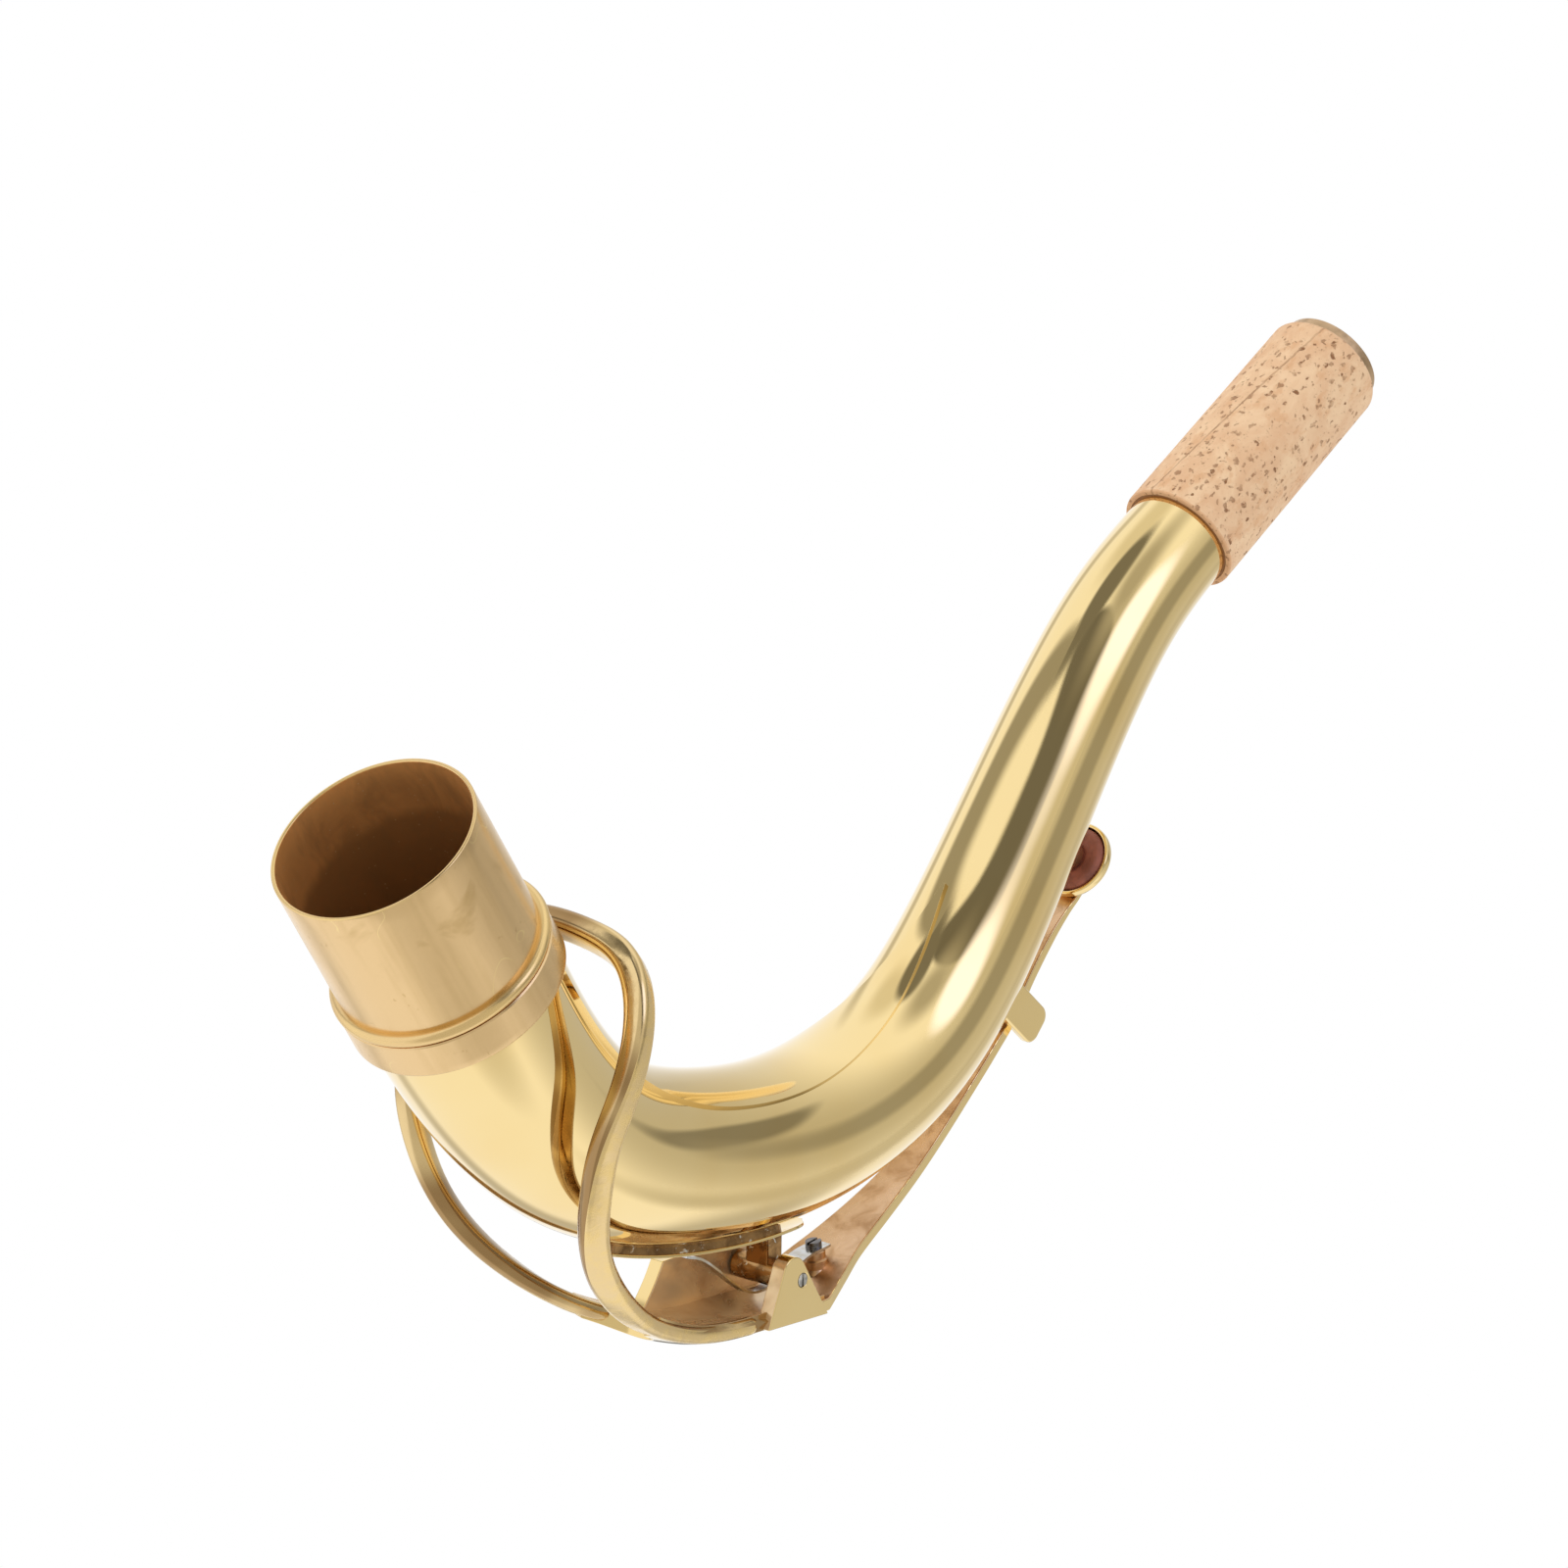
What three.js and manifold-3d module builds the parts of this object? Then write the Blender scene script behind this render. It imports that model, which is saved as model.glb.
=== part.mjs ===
// Tenor saxophone neck with its octave key.
// Lengths are millimetres. The origin is the centre of the tenon's open end, +Z runs up the
// tenon, +X points to the mouthpiece end, and the neck bends in the plane Y = 0.
// A station is a length along the neck's centreline, counted from the tenon's open end.
// A height is a distance from the tube's outside, measured on the outer side of the bend.
import * as THREE from "three";
import { mergeVertices } from "three/addons/utils/BufferGeometryUtils.js";
import Module from "manifold-3d";

const wasm = await Module();
wasm.setup();

// Fits
const solder_gap = 0.2;
const running_gap = 0.3;
const layer_gap = 0.1;
const cut_overrun = 2;

// Facets
const tube_sides = 36;
const tube_rings = 30;
const small_sides = 24;
const bead_steps = 6;
const spine_steps = 600;
const outline_steps = 10;
const merge_tolerance = 1e-4;

// Tenon, bead and collar
const tenon_radius = 13.75;
const tenon_wall = 0.8;
const tenon_length = 20.7;
const tenon_chamfer = 0.2;
const bead_radius = 14.85;
const bead_half_height = 0.9;
const collar_radius = 14.65;
const collar_height = 4.9;
const collar_round = 0.3;

// Tube and its bend: the angle between the centreline and +Z at equal steps of the bend
const tube_base_radius = 13.15;
const tube_cork_radius = 7.45;
const tube_tip_radius = 6.35;
const tube_waist = 0.22;
const tube_wall = 0.8;
const bend_length = 184.1;
const bend_angles_deg = [0, 11.8, 38.3, 53.2, 75, 103, 109.1, 104, 86.2];

// Cork and end ring
const cork_length = 37.3;
const cork_rim_radius = 8.54;
const cork_tip_radius = 8.3;
const cork_rim_round = 0.35;
const cork_shoulder = 1.1;
const end_ring_radius = 7.2;
const end_ring_length = 1.3;
const end_ring_lip = 0.45;
const end_ring_round = 0.2;

// Brace on the inner side of the bend: half of its angle round the tube along its length
const brace_length = 122.6;
const brace_thickness = 0.6;
const brace_station_shares = [0, 0.1, 0.28, 0.45, 0.63, 0.78, 0.92, 1];
const brace_half_angles_deg = [53, 49, 42.5, 44, 37, 25, 11, 1.5];

// Saddle on the outer side: base plate, post and hinge barrel
const hinge_station = 99.7;
const hinge_height = 6.72;
const base_behind = 29.5;
const base_ahead = 4.8;
const base_half_width = 4;
const base_end_share = 0.2;
const base_thickness = 1.5;
const post_half_length = 1.5;
const post_half_width = 1.9;
const barrel_radius = 1.9;
const barrel_half_length = 4.3;
const rod_radius = 0.9;
const slot_width = 0.4;
const slot_depth = 0.4;

// Octave pip
const pip_station = 165.4;
const pip_radius = 2;
const pip_bore_radius = 0.8;
const pip_rim_chamfer = 0.4;
const pip_flange_radius = 3.4;
const pip_flange_thickness = 0.8;

// Pad and pad cup
const pad_face_height = 4.6;
const pad_radius = 4.45;
const pad_side_height = 1.1;
const leather_thickness = 0.3;
const felt_thickness = 0.7;
const card_thickness = 0.35;
const cup_radius = 5.3;
const cup_wall = 0.55;
const cup_rim_set_back = 0.3;
const cup_back_round = 1.1;

// Guide that the key's arm moves in
const guide_station = 143.6;
const guide_length = 5.4;
const guide_height = 8.6;
const guide_foot_height = 2.2;
const guide_inner_half_width = 2.7;
const guide_wall = 1.2;
const guide_round = 1.4;

// Key body: an arched web between the loop and the arm, with an ear on each side
const web_behind = 29.7;
const web_ahead = 4.2;
const web_height = 12.9;
const web_thickness = 2.4;
const web_crown = 1.2;
const web_root_half_width = 9.4;
const web_station_shares = [0, 0.07, 0.24, 0.41, 0.58, 0.73, 0.86, 1];
const web_height_shares = [0.69, 0.72, 0.83, 0.92, 0.95, 0.94, 0.95, 0.99];
const web_width_shares = [1, 0.95, 0.82, 0.73, 0.68, 0.67, 0.68, 0.69];
const notch_half_width = 5.2;
const notch_depth = 9.5;
const ear_inner_half = barrel_half_length + running_gap;
const ear_thickness = 2.2;
const ear_tip_radius = 3.3;
const ear_base_behind = 6.5;
const ear_base_ahead = 5.1;
const ear_base_height = 4.5;
const near_ear_from_deg = 225;
const far_ear_from_deg = 252;
const ear_to_deg = 345;
const far_ear_behind = 14.8;
const far_ear_drop = 3.6;
const far_ear_heel = 5;
const far_ear_heel_share = 0.4;

// Loop that goes round the neck: angles are counted from the outer side of the bend
const loop_bar_width = 4;
const loop_bar_thickness = 3.2;
const loop_bar_round = 0.8;
const loop_air_gap = 1.75;
const loop_front_rise = 6.3;
const loop_angles_deg = [20.8, 39, 57, 75, 97, 120, 139, 160, 180];
const loop_station_shares = [1, 0.7, 0.52, 0.38, 0.29, 0.16, 0.05, 0.01, 0];
const loop_radius_shares = [1.165, 1.06, 0.985, 0.96, 1, 1.11, 1.155, 1.025, 0.985];
const loop_thickness_shares = [0.75, 0.85, 0.9, 0.9, 0.95, 1.05, 1.1, 1, 0.95];
const loop_steps = 48;

// Arm from the key body to the pad cup
const arm_root_height = 12.7;
const arm_root_half_width = 6.5;
const arm_root_thickness = 1.8;
const arm_root_crown = 0.9;
const arm_tongue_thickness = 0.75;
const arm_tongue_length = 2.5;
const arm_station_shares = [0, 0.05, 0.11, 0.2, 0.29, 0.37, 0.45, 0.53, 0.61, 0.7, 0.79, 0.85, 0.9, 1];
const arm_rise_shares = [
  1, 0.63, 0.3, 0.01, -0.21, -0.43, -0.56, -0.56, -0.48, -0.49, -0.39, -0.24, -0.06, 0,
];
const arm_width_shares = [
  1, 0.85, 0.66, 0.5, 0.39, 0.35, 0.33, 0.32, 0.31, 0.3, 0.3, 0.3, 0.3, 0.28,
];
const arm_slab_shares = [1, 1, 0.9, 0.85, 0.8, 0.73, 0.68, 0.68, 0.68, 0.68, 0.6, 0.35, 0.05, 0];
const arm_steps = 40;

// Spring with its boss and screw
const spring_anchor_ahead = 8;
const spring_end_margin = 1.9;
const spring_behind = 14.2;
const spring_half_width = 1.6;
const spring_thickness = 0.35;
const spring_station_shares = [0, 0.16, 0.36, 0.5, 0.63, 0.76, 0.88, 1];
const spring_fall_shares = [0, 0, 0.3, 0.65, 0.9, 1];
const spring_steps = 20;
const boss_radius = 1.9;
const boss_length = 1.3;
const screw_radius = 0.8;
const screw_head_radius = 1.5;
const screw_head_height = 0.9;

// Stations and radii that follow from the sizes above
const bead_height = 2 * bead_half_height;
const collar_start = tenon_length + bead_height + solder_gap;
const bend_start = collar_start + collar_height;
const bend_end = bend_start + bend_length;
const end_ring_start = bend_end + cork_length + solder_gap;
const tip_station = end_ring_start + end_ring_length;
const sleeve_bore = Math.max(tenon_radius, tube_base_radius) + solder_gap;
const tube_joint = collar_start + collar_height / 2;
const base_top = solder_gap + base_thickness;
const web_start = hinge_station - web_behind;
const web_end = hinge_station + web_ahead;
const ear_outer_half = ear_inner_half + ear_thickness;
const cup_back_height = pad_face_height + leather_thickness + felt_thickness
  + card_thickness + 3 * layer_gap + cup_wall;
const arm_start = web_end + solder_gap;
const arm_end = pip_station + arm_tongue_length;
const arm_tip_height = cup_back_height + solder_gap + arm_tongue_thickness;
const spring_station = hinge_station + spring_anchor_ahead;

// A smooth curve through values at rising places
function curveThrough(places, values, flat_ends = false) {
  const last = places.length - 1;
  const slopeAt = (k) => {
    if (flat_ends && (k === 0 || k === last)) return 0;
    const before = Math.max(k - 1, 0);
    const after = Math.min(k + 1, last);
    return (values[after] - values[before]) / (places[after] - places[before]);
  };
  return (place) => {
    const at = THREE.MathUtils.clamp(place, places[0], places[last]);
    let k = 0;
    while (k < last - 1 && at > places[k + 1]) k += 1;
    const step = places[k + 1] - places[k];
    const u = (at - places[k]) / step;
    const rise = u * u * (3 - 2 * u);
    const leave = u * (1 - u) * (1 - u) * step * slopeAt(k);
    const arrive = u * u * (u - 1) * step * slopeAt(k + 1);
    return values[k] + rise * (values[k + 1] - values[k]) + leave + arrive;
  };
}

// The centreline
const bend_places = bend_angles_deg.map((_, i) => i / (bend_angles_deg.length - 1));
const bendAngle = curveThrough(bend_places, bend_angles_deg, true);

function leanAt(station) {
  return THREE.MathUtils.degToRad(bendAngle((station - bend_start) / bend_length));
}

function tracedSpine() {
  const step = tip_station / spine_steps;
  const points = [new THREE.Vector2(0, 0)];
  for (let i = 0; i < spine_steps; i += 1) {
    const lean = leanAt((i + 0.5) * step);
    points.push(new THREE.Vector2(Math.sin(lean), Math.cos(lean)).multiplyScalar(step).add(points[i]));
  }
  return points;
}

const spine = tracedSpine();

function spineAt(station) {
  const u = (station / tip_station) * spine_steps;
  const i = THREE.MathUtils.clamp(Math.floor(u), 0, spine_steps - 1);
  return spine[i].clone().lerp(spine[i + 1], u - i);
}

// The tube's outer radius: a taper with a slight waist, then the part under the cork
function tubeRadius(station) {
  const u = THREE.MathUtils.clamp((station - bend_start) / bend_length, 0, 1);
  const v = THREE.MathUtils.clamp((station - bend_end) / (tip_station - bend_end), 0, 1);
  return tube_base_radius + (tube_cork_radius - tube_base_radius) * u
    - 4 * tube_waist * u * (1 - u) + (tube_tip_radius - tube_cork_radius) * v;
}

// A point beside the centreline, so far towards the inner side of the bend and so far along Y
function beside(station, inward, y) {
  const lean = leanAt(station);
  const centre = spineAt(station);
  return new THREE.Vector3(
    centre.x + inward * Math.cos(lean), y, centre.y - inward * Math.sin(lean));
}

// A point at a height over the outer side of the tube
function above(station, height, y = 0) {
  return beside(station, -(tubeRadius(station) + height), y);
}

// A point round the centreline, by its angle from the outer side of the bend
function around(station, radius, degrees) {
  const angle = THREE.MathUtils.degToRad(degrees);
  return beside(station, -radius * Math.cos(angle), radius * Math.sin(angle));
}

// Unit vectors at a station: along the tube, across it, and out from the outer side
function axesAt(station) {
  const lean = leanAt(station);
  return {
    along: new THREE.Vector3(Math.sin(lean), 0, Math.cos(lean)),
    across: new THREE.Vector3(0, 1, 0),
    out: new THREE.Vector3(-Math.cos(lean), 0, Math.sin(lean)),
  };
}

// A frame for profiles that are extruded across the neck: x along, y out, z towards -Y
function profileFrame(station, height, y) {
  const { along, across, out } = axesAt(station);
  return new THREE.Matrix4().makeBasis(along, out, across.negate())
    .setPosition(above(station, height, y));
}

// A frame for pieces turned about the outward direction: y out
function uprightFrame(station, height) {
  const { along, across, out } = axesAt(station);
  return new THREE.Matrix4().makeBasis(across, out, along).setPosition(above(station, height));
}

// Solids
function solid(geometry) {
  const bare = geometry.clone();
  bare.deleteAttribute("normal");
  bare.deleteAttribute("uv");
  const merged = mergeVertices(bare, merge_tolerance);
  return new wasm.Manifold(new wasm.Mesh({
    numProp: 3,
    vertProperties: new Float32Array(merged.attributes.position.array),
    triVerts: new Uint32Array(merged.index.array),
  }));
}

function geometryOf(made) {
  const mesh = made.getMesh();
  const geometry = new THREE.BufferGeometry();
  geometry.setAttribute("position", new THREE.BufferAttribute(new Float32Array(mesh.vertProperties), 3));
  geometry.setIndex(new THREE.BufferAttribute(new Uint32Array(mesh.triVerts), 1));
  geometry.computeVertexNormals();
  return geometry;
}

function cutBy(geometry, ...cutters) {
  return geometryOf(cutters.reduce((made, cutter) => made.subtract(solid(cutter)), solid(geometry)));
}

function joined(first, ...others) {
  return geometryOf(others.reduce((made, other) => made.add(solid(other)), solid(first)));
}

// A solid of revolution from [radius, length] points, its axis along local y
function turned(points, sides = small_sides) {
  return new THREE.LatheGeometry(points.map(([r, l]) => new THREE.Vector2(r, l)), sides);
}

// A closed ring profile: the outer points upwards, then the inner ones downwards
function turnedRing(outer, inner, sides = small_sides) {
  return turned([...outer, ...inner, outer[0]], sides);
}

// Takes a solid that was turned about a straight neck and bends it with the neck
function bent(geometry) {
  const place = geometry.attributes.position;
  for (let i = 0; i < place.count; i += 1) {
    const point = beside(place.getY(i), place.getX(i), -place.getZ(i));
    place.setXYZ(i, point.x, point.y, point.z);
  }
  geometry.computeVertexNormals();
  return geometry;
}

// Equal steps from one value to another
function steps(from, to, count) {
  return Array.from({ length: count + 1 }, (_, i) => from + ((to - from) * i) / count);
}

// A solid through sections, each with a top row and a bottom row of as many points
function loft(sections) {
  const rings = sections.map(({ top, bottom }) => [...top, ...[...bottom].reverse()]);
  const size = rings[0].length;
  const index = [];
  for (let i = 0; i + 1 < rings.length; i += 1) {
    for (let j = 0; j < size; j += 1) {
      const a = i * size + j;
      const b = i * size + ((j + 1) % size);
      index.push(a, a + size, b, b, a + size, b + size);
    }
  }
  const last = (rings.length - 1) * size;
  for (let j = 0; j + 1 < size / 2; j += 1) {
    const [a, b, c, d] = [j, j + 1, size - 2 - j, size - 1 - j];
    index.push(a, b, c, a, c, d);
    index.push(last + a, last + c, last + b, last + a, last + d, last + c);
  }
  const geometry = new THREE.BufferGeometry();
  const places = rings.flat().flatMap((point) => [point.x, point.y, point.z]);
  geometry.setAttribute("position", new THREE.Float32BufferAttribute(places, 3));
  geometry.setIndex(index);
  geometry.computeVertexNormals();
  return geometry;
}

// A plate that hugs the tube, centred on an angle from the outer side of the bend
function wrappedPlate({ from, to, rings, columns, centre_deg, half_deg, thickness }) {
  return loft(steps(from, to, rings).map((station) => {
    const half = half_deg(station);
    const under = tubeRadius(station) + solder_gap;
    const row = (radius) => steps(centre_deg - half, centre_deg + half, columns)
      .map((angle) => around(station, radius, angle));
    return { top: row(under + thickness), bottom: row(under) };
  }));
}

// A strip over the outer side of the tube, arched across its width by its crown
function strip(stations, { top, thickness, half_width, crown, columns = 6 }) {
  return loft(stations.map((station) => {
    const half = half_width(station);
    const row = (edge) => steps(-1, 1, columns).map((share) => above(
      station, edge + crown(station) * (1 - share * share), half * share));
    return { top: row(top(station)), bottom: row(top(station) - thickness(station)) };
  }));
}

// The space that the tube takes up, grown by a gap
function tubeSpace(gap, from, to, rings) {
  const wall = steps(from, to, rings).map((station) => [tubeRadius(station) + gap, station]);
  return bent(turned([[0, from], ...wall, [0, to]], tube_sides));
}

// An outline extruded across the neck, from one Y down to another
function crossProfile(shape, station, height, from_y, to_y) {
  const geometry = new THREE.ExtrudeGeometry(shape, {
    depth: from_y - to_y, bevelEnabled: false, curveSegments: outline_steps,
  });
  return geometry.applyMatrix4(profileFrame(station, height, from_y));
}

// A slot for a screwdriver across the end of a turned piece, its floor at a depth below that end
function slotCutter(reach, end, into) {
  const depth = slot_depth + cut_overrun;
  return new THREE.BoxGeometry(slot_width, depth, 2 * reach)
    .translate(0, end + into * (slot_depth - depth / 2), 0);
}

// Tenon, bead and collar
function tenonSleeve() {
  const bore = tenon_radius - tenon_wall;
  const top = tube_joint - solder_gap / 2;
  return bent(turnedRing(
    [
      [tenon_radius - tenon_chamfer, 0],
      [tenon_radius, tenon_chamfer],
      [tenon_radius, tenon_length],
      [tenon_radius, top],
    ],
    [[bore, top], [bore, 0]], tube_sides));
}

function beadRing() {
  const centre = bead_radius - bead_half_height;
  const arc = steps(-Math.PI / 2, Math.PI / 2, bead_steps).map((angle) => [
    centre + bead_half_height * Math.cos(angle),
    tenon_length + bead_half_height * (1 + Math.sin(angle)),
  ]);
  const bore = sleeve_bore;
  return bent(turnedRing(
    arc, [[bore, tenon_length + bead_height], [bore, tenon_length]], tube_sides));
}

function collarBand() {
  return bent(turnedRing(
    [
      [collar_radius, collar_start],
      [collar_radius, bend_start - collar_round],
      [collar_radius - collar_round, bend_start],
    ],
    [[sleeve_bore, bend_start], [sleeve_bore, collar_start]], tube_sides));
}

// Tube, with the hole that the pip stands in
function pipHole(radius) {
  const length = tubeRadius(pip_station) + cut_overrun;
  return new THREE.CylinderGeometry(radius, radius, length, small_sides)
    .translate(0, -tube_wall - cut_overrun + length / 2, 0)
    .applyMatrix4(uprightFrame(pip_station, 0));
}

function neckTube() {
  const from = tube_joint + solder_gap / 2;
  const to = tip_station - end_ring_lip - solder_gap;
  const stations = [from, ...steps(bend_start, bend_end, tube_rings), to];
  const outer = stations.map((station) => [tubeRadius(station), station]);
  const inner = stations.map((station) => [tubeRadius(station) - tube_wall, station]).reverse();
  return cutBy(bent(turnedRing(outer, inner, tube_sides)), pipHole(pip_radius + solder_gap));
}

// Cork and end ring
function corkSleeve() {
  const from = bend_end;
  const to = bend_end + cork_length;
  const bore = (station) => tubeRadius(station) + solder_gap;
  const shoulder = steps(0, Math.PI / 2, 4).map((angle) => [
    cork_tip_radius - cork_shoulder * (1 - Math.cos(angle)),
    to - cork_shoulder * (1 - Math.sin(angle)),
  ]);
  return bent(turnedRing(
    [[cork_rim_radius - cork_rim_round, from], [cork_rim_radius, from + cork_rim_round], ...shoulder],
    [[bore(to), to], [bore(from), from]], tube_sides));
}

function endRing() {
  const tube_end = tip_station - end_ring_lip;
  const bore = tubeRadius(tube_end) + solder_gap;
  const mouth = tubeRadius(tip_station) - tube_wall;
  return bent(turnedRing(
    [
      [end_ring_radius, end_ring_start],
      [end_ring_radius, tip_station - end_ring_round],
      [end_ring_radius - end_ring_round, tip_station],
    ],
    [[mouth, tip_station], [mouth, tube_end], [bore, tube_end], [bore, end_ring_start]], tube_sides));
}

// Brace on the inner side of the bend
function bracePlate() {
  const from = bend_start + solder_gap;
  const half = curveThrough(brace_station_shares, brace_half_angles_deg);
  return wrappedPlate({
    from,
    to: from + brace_length,
    rings: 26,
    columns: 8,
    centre_deg: 180,
    half_deg: (station) => half((station - from) / brace_length),
    thickness: brace_thickness,
  });
}

// Saddle
function saddleBase() {
  const from = hinge_station - base_behind;
  const to = hinge_station + base_ahead;
  const rounding = (station) => {
    const inside = Math.min(station - from, to - station) / base_half_width;
    return Math.sqrt(Math.max(1 - (1 - Math.min(inside, 1)) ** 2, base_end_share));
  };
  return wrappedPlate({
    from,
    to,
    rings: 24,
    columns: 4,
    centre_deg: 0,
    half_deg: (station) => THREE.MathUtils.radToDeg(
      Math.asin((base_half_width * rounding(station)) / tubeRadius(station))),
    thickness: base_thickness,
  });
}

function saddlePost() {
  const seat = barrel_radius + solder_gap;
  const foot = base_top + solder_gap;
  const reach = Math.asin(post_half_length / seat);
  const shape = new THREE.Shape();
  shape.moveTo(-post_half_length, foot);
  shape.lineTo(post_half_length, foot);
  shape.lineTo(post_half_length, hinge_height - seat * Math.cos(reach));
  shape.absarc(0, hinge_height, seat, reach - Math.PI / 2, -reach - Math.PI / 2, true);
  return crossProfile(shape, hinge_station, 0, post_half_width, -post_half_width);
}

function hingeBarrel() {
  const bore = rod_radius + running_gap;
  return turnedRing(
    [[barrel_radius, -barrel_half_length], [barrel_radius, barrel_half_length]],
    [[bore, barrel_half_length], [bore, -barrel_half_length]]);
}

// Pip: a short tube through the wall of the neck, with a flange shaped to the tube
function octavePip() {
  const foot = -tube_wall;
  const top = pad_face_height - layer_gap;
  return turnedRing(
    [[pip_radius, foot], [pip_radius, top - pip_rim_chamfer], [pip_radius - pip_rim_chamfer, top]],
    [[pip_bore_radius, top], [pip_bore_radius, foot]]);
}

function pipFlange() {
  const bore = pip_radius + solder_gap;
  const skirt = -pip_flange_radius;
  const disc = turnedRing(
    [[pip_flange_radius, skirt], [pip_flange_radius, solder_gap + pip_flange_thickness]],
    [[bore, solder_gap + pip_flange_thickness], [bore, skirt]])
    .applyMatrix4(uprightFrame(pip_station, 0));
  const reach = 2 * pip_flange_radius;
  return cutBy(disc, tubeSpace(solder_gap, pip_station - reach, pip_station + reach, 8));
}

// Guide: two cheeks on a foot that is shaped to the tube
function armGuide() {
  const half = guide_length / 2;
  const outer = guide_inner_half_width + guide_wall;
  const cheek = new THREE.Shape();
  cheek.moveTo(-half, -outer / 2);
  cheek.lineTo(half, -outer / 2);
  cheek.lineTo(half, guide_height - guide_round);
  cheek.absarc(half - guide_round, guide_height - guide_round, guide_round, 0, Math.PI / 2, false);
  cheek.absarc(guide_round - half, guide_height - guide_round, guide_round, Math.PI / 2, Math.PI, false);
  const foot = new THREE.Shape();
  foot.moveTo(-half, -outer / 2);
  foot.lineTo(half, -outer / 2);
  foot.lineTo(half, guide_foot_height);
  foot.lineTo(-half, guide_foot_height);
  const body = joined(
    crossProfile(foot, guide_station, 0, outer, -outer),
    crossProfile(cheek, guide_station, 0, outer, guide_inner_half_width),
    crossProfile(cheek, guide_station, 0, -guide_inner_half_width, -outer));
  const reach = 2 * guide_length;
  return cutBy(body, tubeSpace(solder_gap, guide_station - reach, guide_station + reach, 12));
}

// Key body
const webShare = (station) => (station - web_start) / (web_end - web_start);
const webHeight = curveThrough(web_station_shares, web_height_shares);
const webWidth = curveThrough(web_station_shares, web_width_shares);

function webPlate() {
  return strip(steps(web_start, web_end, 20), {
    top: (station) => web_height * webHeight(webShare(station)),
    thickness: () => web_thickness,
    half_width: (station) => web_root_half_width * webWidth(webShare(station)),
    crown: () => web_crown,
    columns: 10,
  });
}

// The rounded gap between the two ends of the loop
function notchCutter() {
  const deep = web_height + cut_overrun;
  const shape = new THREE.Shape();
  shape.absellipse(0, 0, notch_depth, notch_half_width, 0, 2 * Math.PI, false, 0);
  const { along, across, out } = axesAt(web_start);
  const frame = new THREE.Matrix4().makeBasis(along, across, out).setPosition(above(web_start, 0));
  return new THREE.ExtrudeGeometry(shape, {
    depth: deep, bevelEnabled: false, curveSegments: outline_steps,
  }).applyMatrix4(frame);
}

function withRodHole(shape) {
  const hole = new THREE.Path();
  hole.absarc(0, 0, rod_radius + solder_gap, 0, 2 * Math.PI, true);
  shape.holes.push(hole);
  return shape;
}

function earTip(shape, from_deg) {
  const [from, to] = [from_deg, ear_to_deg].map(THREE.MathUtils.degToRad);
  shape.absarc(0, 0, ear_tip_radius, from, to, false);
}

function nearEarShape() {
  const shape = new THREE.Shape();
  shape.moveTo(ear_base_ahead, ear_base_height);
  shape.lineTo(-ear_base_behind, ear_base_height);
  earTip(shape, near_ear_from_deg);
  return withRodHole(shape);
}

// The far ear is longer: it runs back along the tube and ends in a hollow curve
function farEarShape() {
  const shape = new THREE.Shape();
  shape.moveTo(ear_base_ahead, ear_base_height);
  shape.lineTo(-far_ear_behind - far_ear_heel, far_ear_heel_share * ear_base_height);
  shape.quadraticCurveTo(
    -far_ear_behind - far_ear_drop / 2, 0, -far_ear_behind, -far_ear_drop);
  shape.lineTo(-ear_tip_radius, -far_ear_drop);
  earTip(shape, far_ear_from_deg);
  return withRodHole(shape);
}

function keyBody() {
  const near = crossProfile(
    nearEarShape(), hinge_station, hinge_height, ear_outer_half, ear_inner_half);
  const far = crossProfile(
    farEarShape(), hinge_station, hinge_height, -ear_inner_half, -ear_outer_half);
  return joined(cutBy(webPlate(), notchCutter()), near, far);
}

// Loop
function barSection(centre, side, up, width, thickness) {
  const [w, t, c] = [width / 2, thickness / 2, loop_bar_round];
  const row = (sign) => [[-w, t - c], [c - w, t], [w - c, t], [w, t - c]].map(([a, b]) => (
    centre.clone().addScaledVector(side, a).addScaledVector(up, sign * b)));
  return { top: row(1), bottom: row(-1) };
}

function keyLoop() {
  const radius = collar_radius + loop_air_gap + loop_bar_thickness / 2;
  const front = bend_start + loop_front_rise;
  const root = web_start - solder_gap;
  const stationShare = curveThrough(loop_angles_deg, loop_station_shares);
  const radiusShare = curveThrough(loop_angles_deg, loop_radius_shares);
  const thicknessShare = curveThrough(loop_angles_deg, loop_thickness_shares);
  const mirrored = (degrees) => Math.min(degrees, 360 - degrees);
  const stationAt = (degrees) => front + (root - front) * stationShare(mirrored(degrees));
  const pointAt = (degrees) => around(
    stationAt(degrees), radius * radiusShare(mirrored(degrees)), degrees);
  const first = loop_angles_deg[0];
  const angles = steps(first, 360 - first, loop_steps);
  const half_step = (angles[1] - angles[0]) / 2;
  return loft(angles.map((degrees, i) => {
    const point = pointAt(degrees);
    const thickness = loop_bar_thickness * thicknessShare(mirrored(degrees));
    if (i === 0 || i === loop_steps) {
      const { across, out } = axesAt(root);
      const side = i === 0 ? across.negate() : across;
      return barSection(point, side, out, loop_bar_width, thickness);
    }
    const heading = pointAt(degrees + half_step).sub(pointAt(degrees - half_step)).normalize();
    const up = point.clone().sub(beside(stationAt(degrees), 0, 0));
    up.addScaledVector(heading, -up.dot(heading)).normalize();
    return barSection(point, up.clone().cross(heading), up, loop_bar_width, thickness);
  }));
}

// Arm
const armShare = (station) => (station - arm_start) / (arm_end - arm_start);
const armRise = curveThrough(arm_station_shares, arm_rise_shares);
const armWidth = curveThrough(arm_station_shares, arm_width_shares);
const armSlab = curveThrough(arm_station_shares, arm_slab_shares);

function armTop(station) {
  return arm_tip_height + (arm_root_height - arm_tip_height) * armRise(armShare(station));
}

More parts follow.
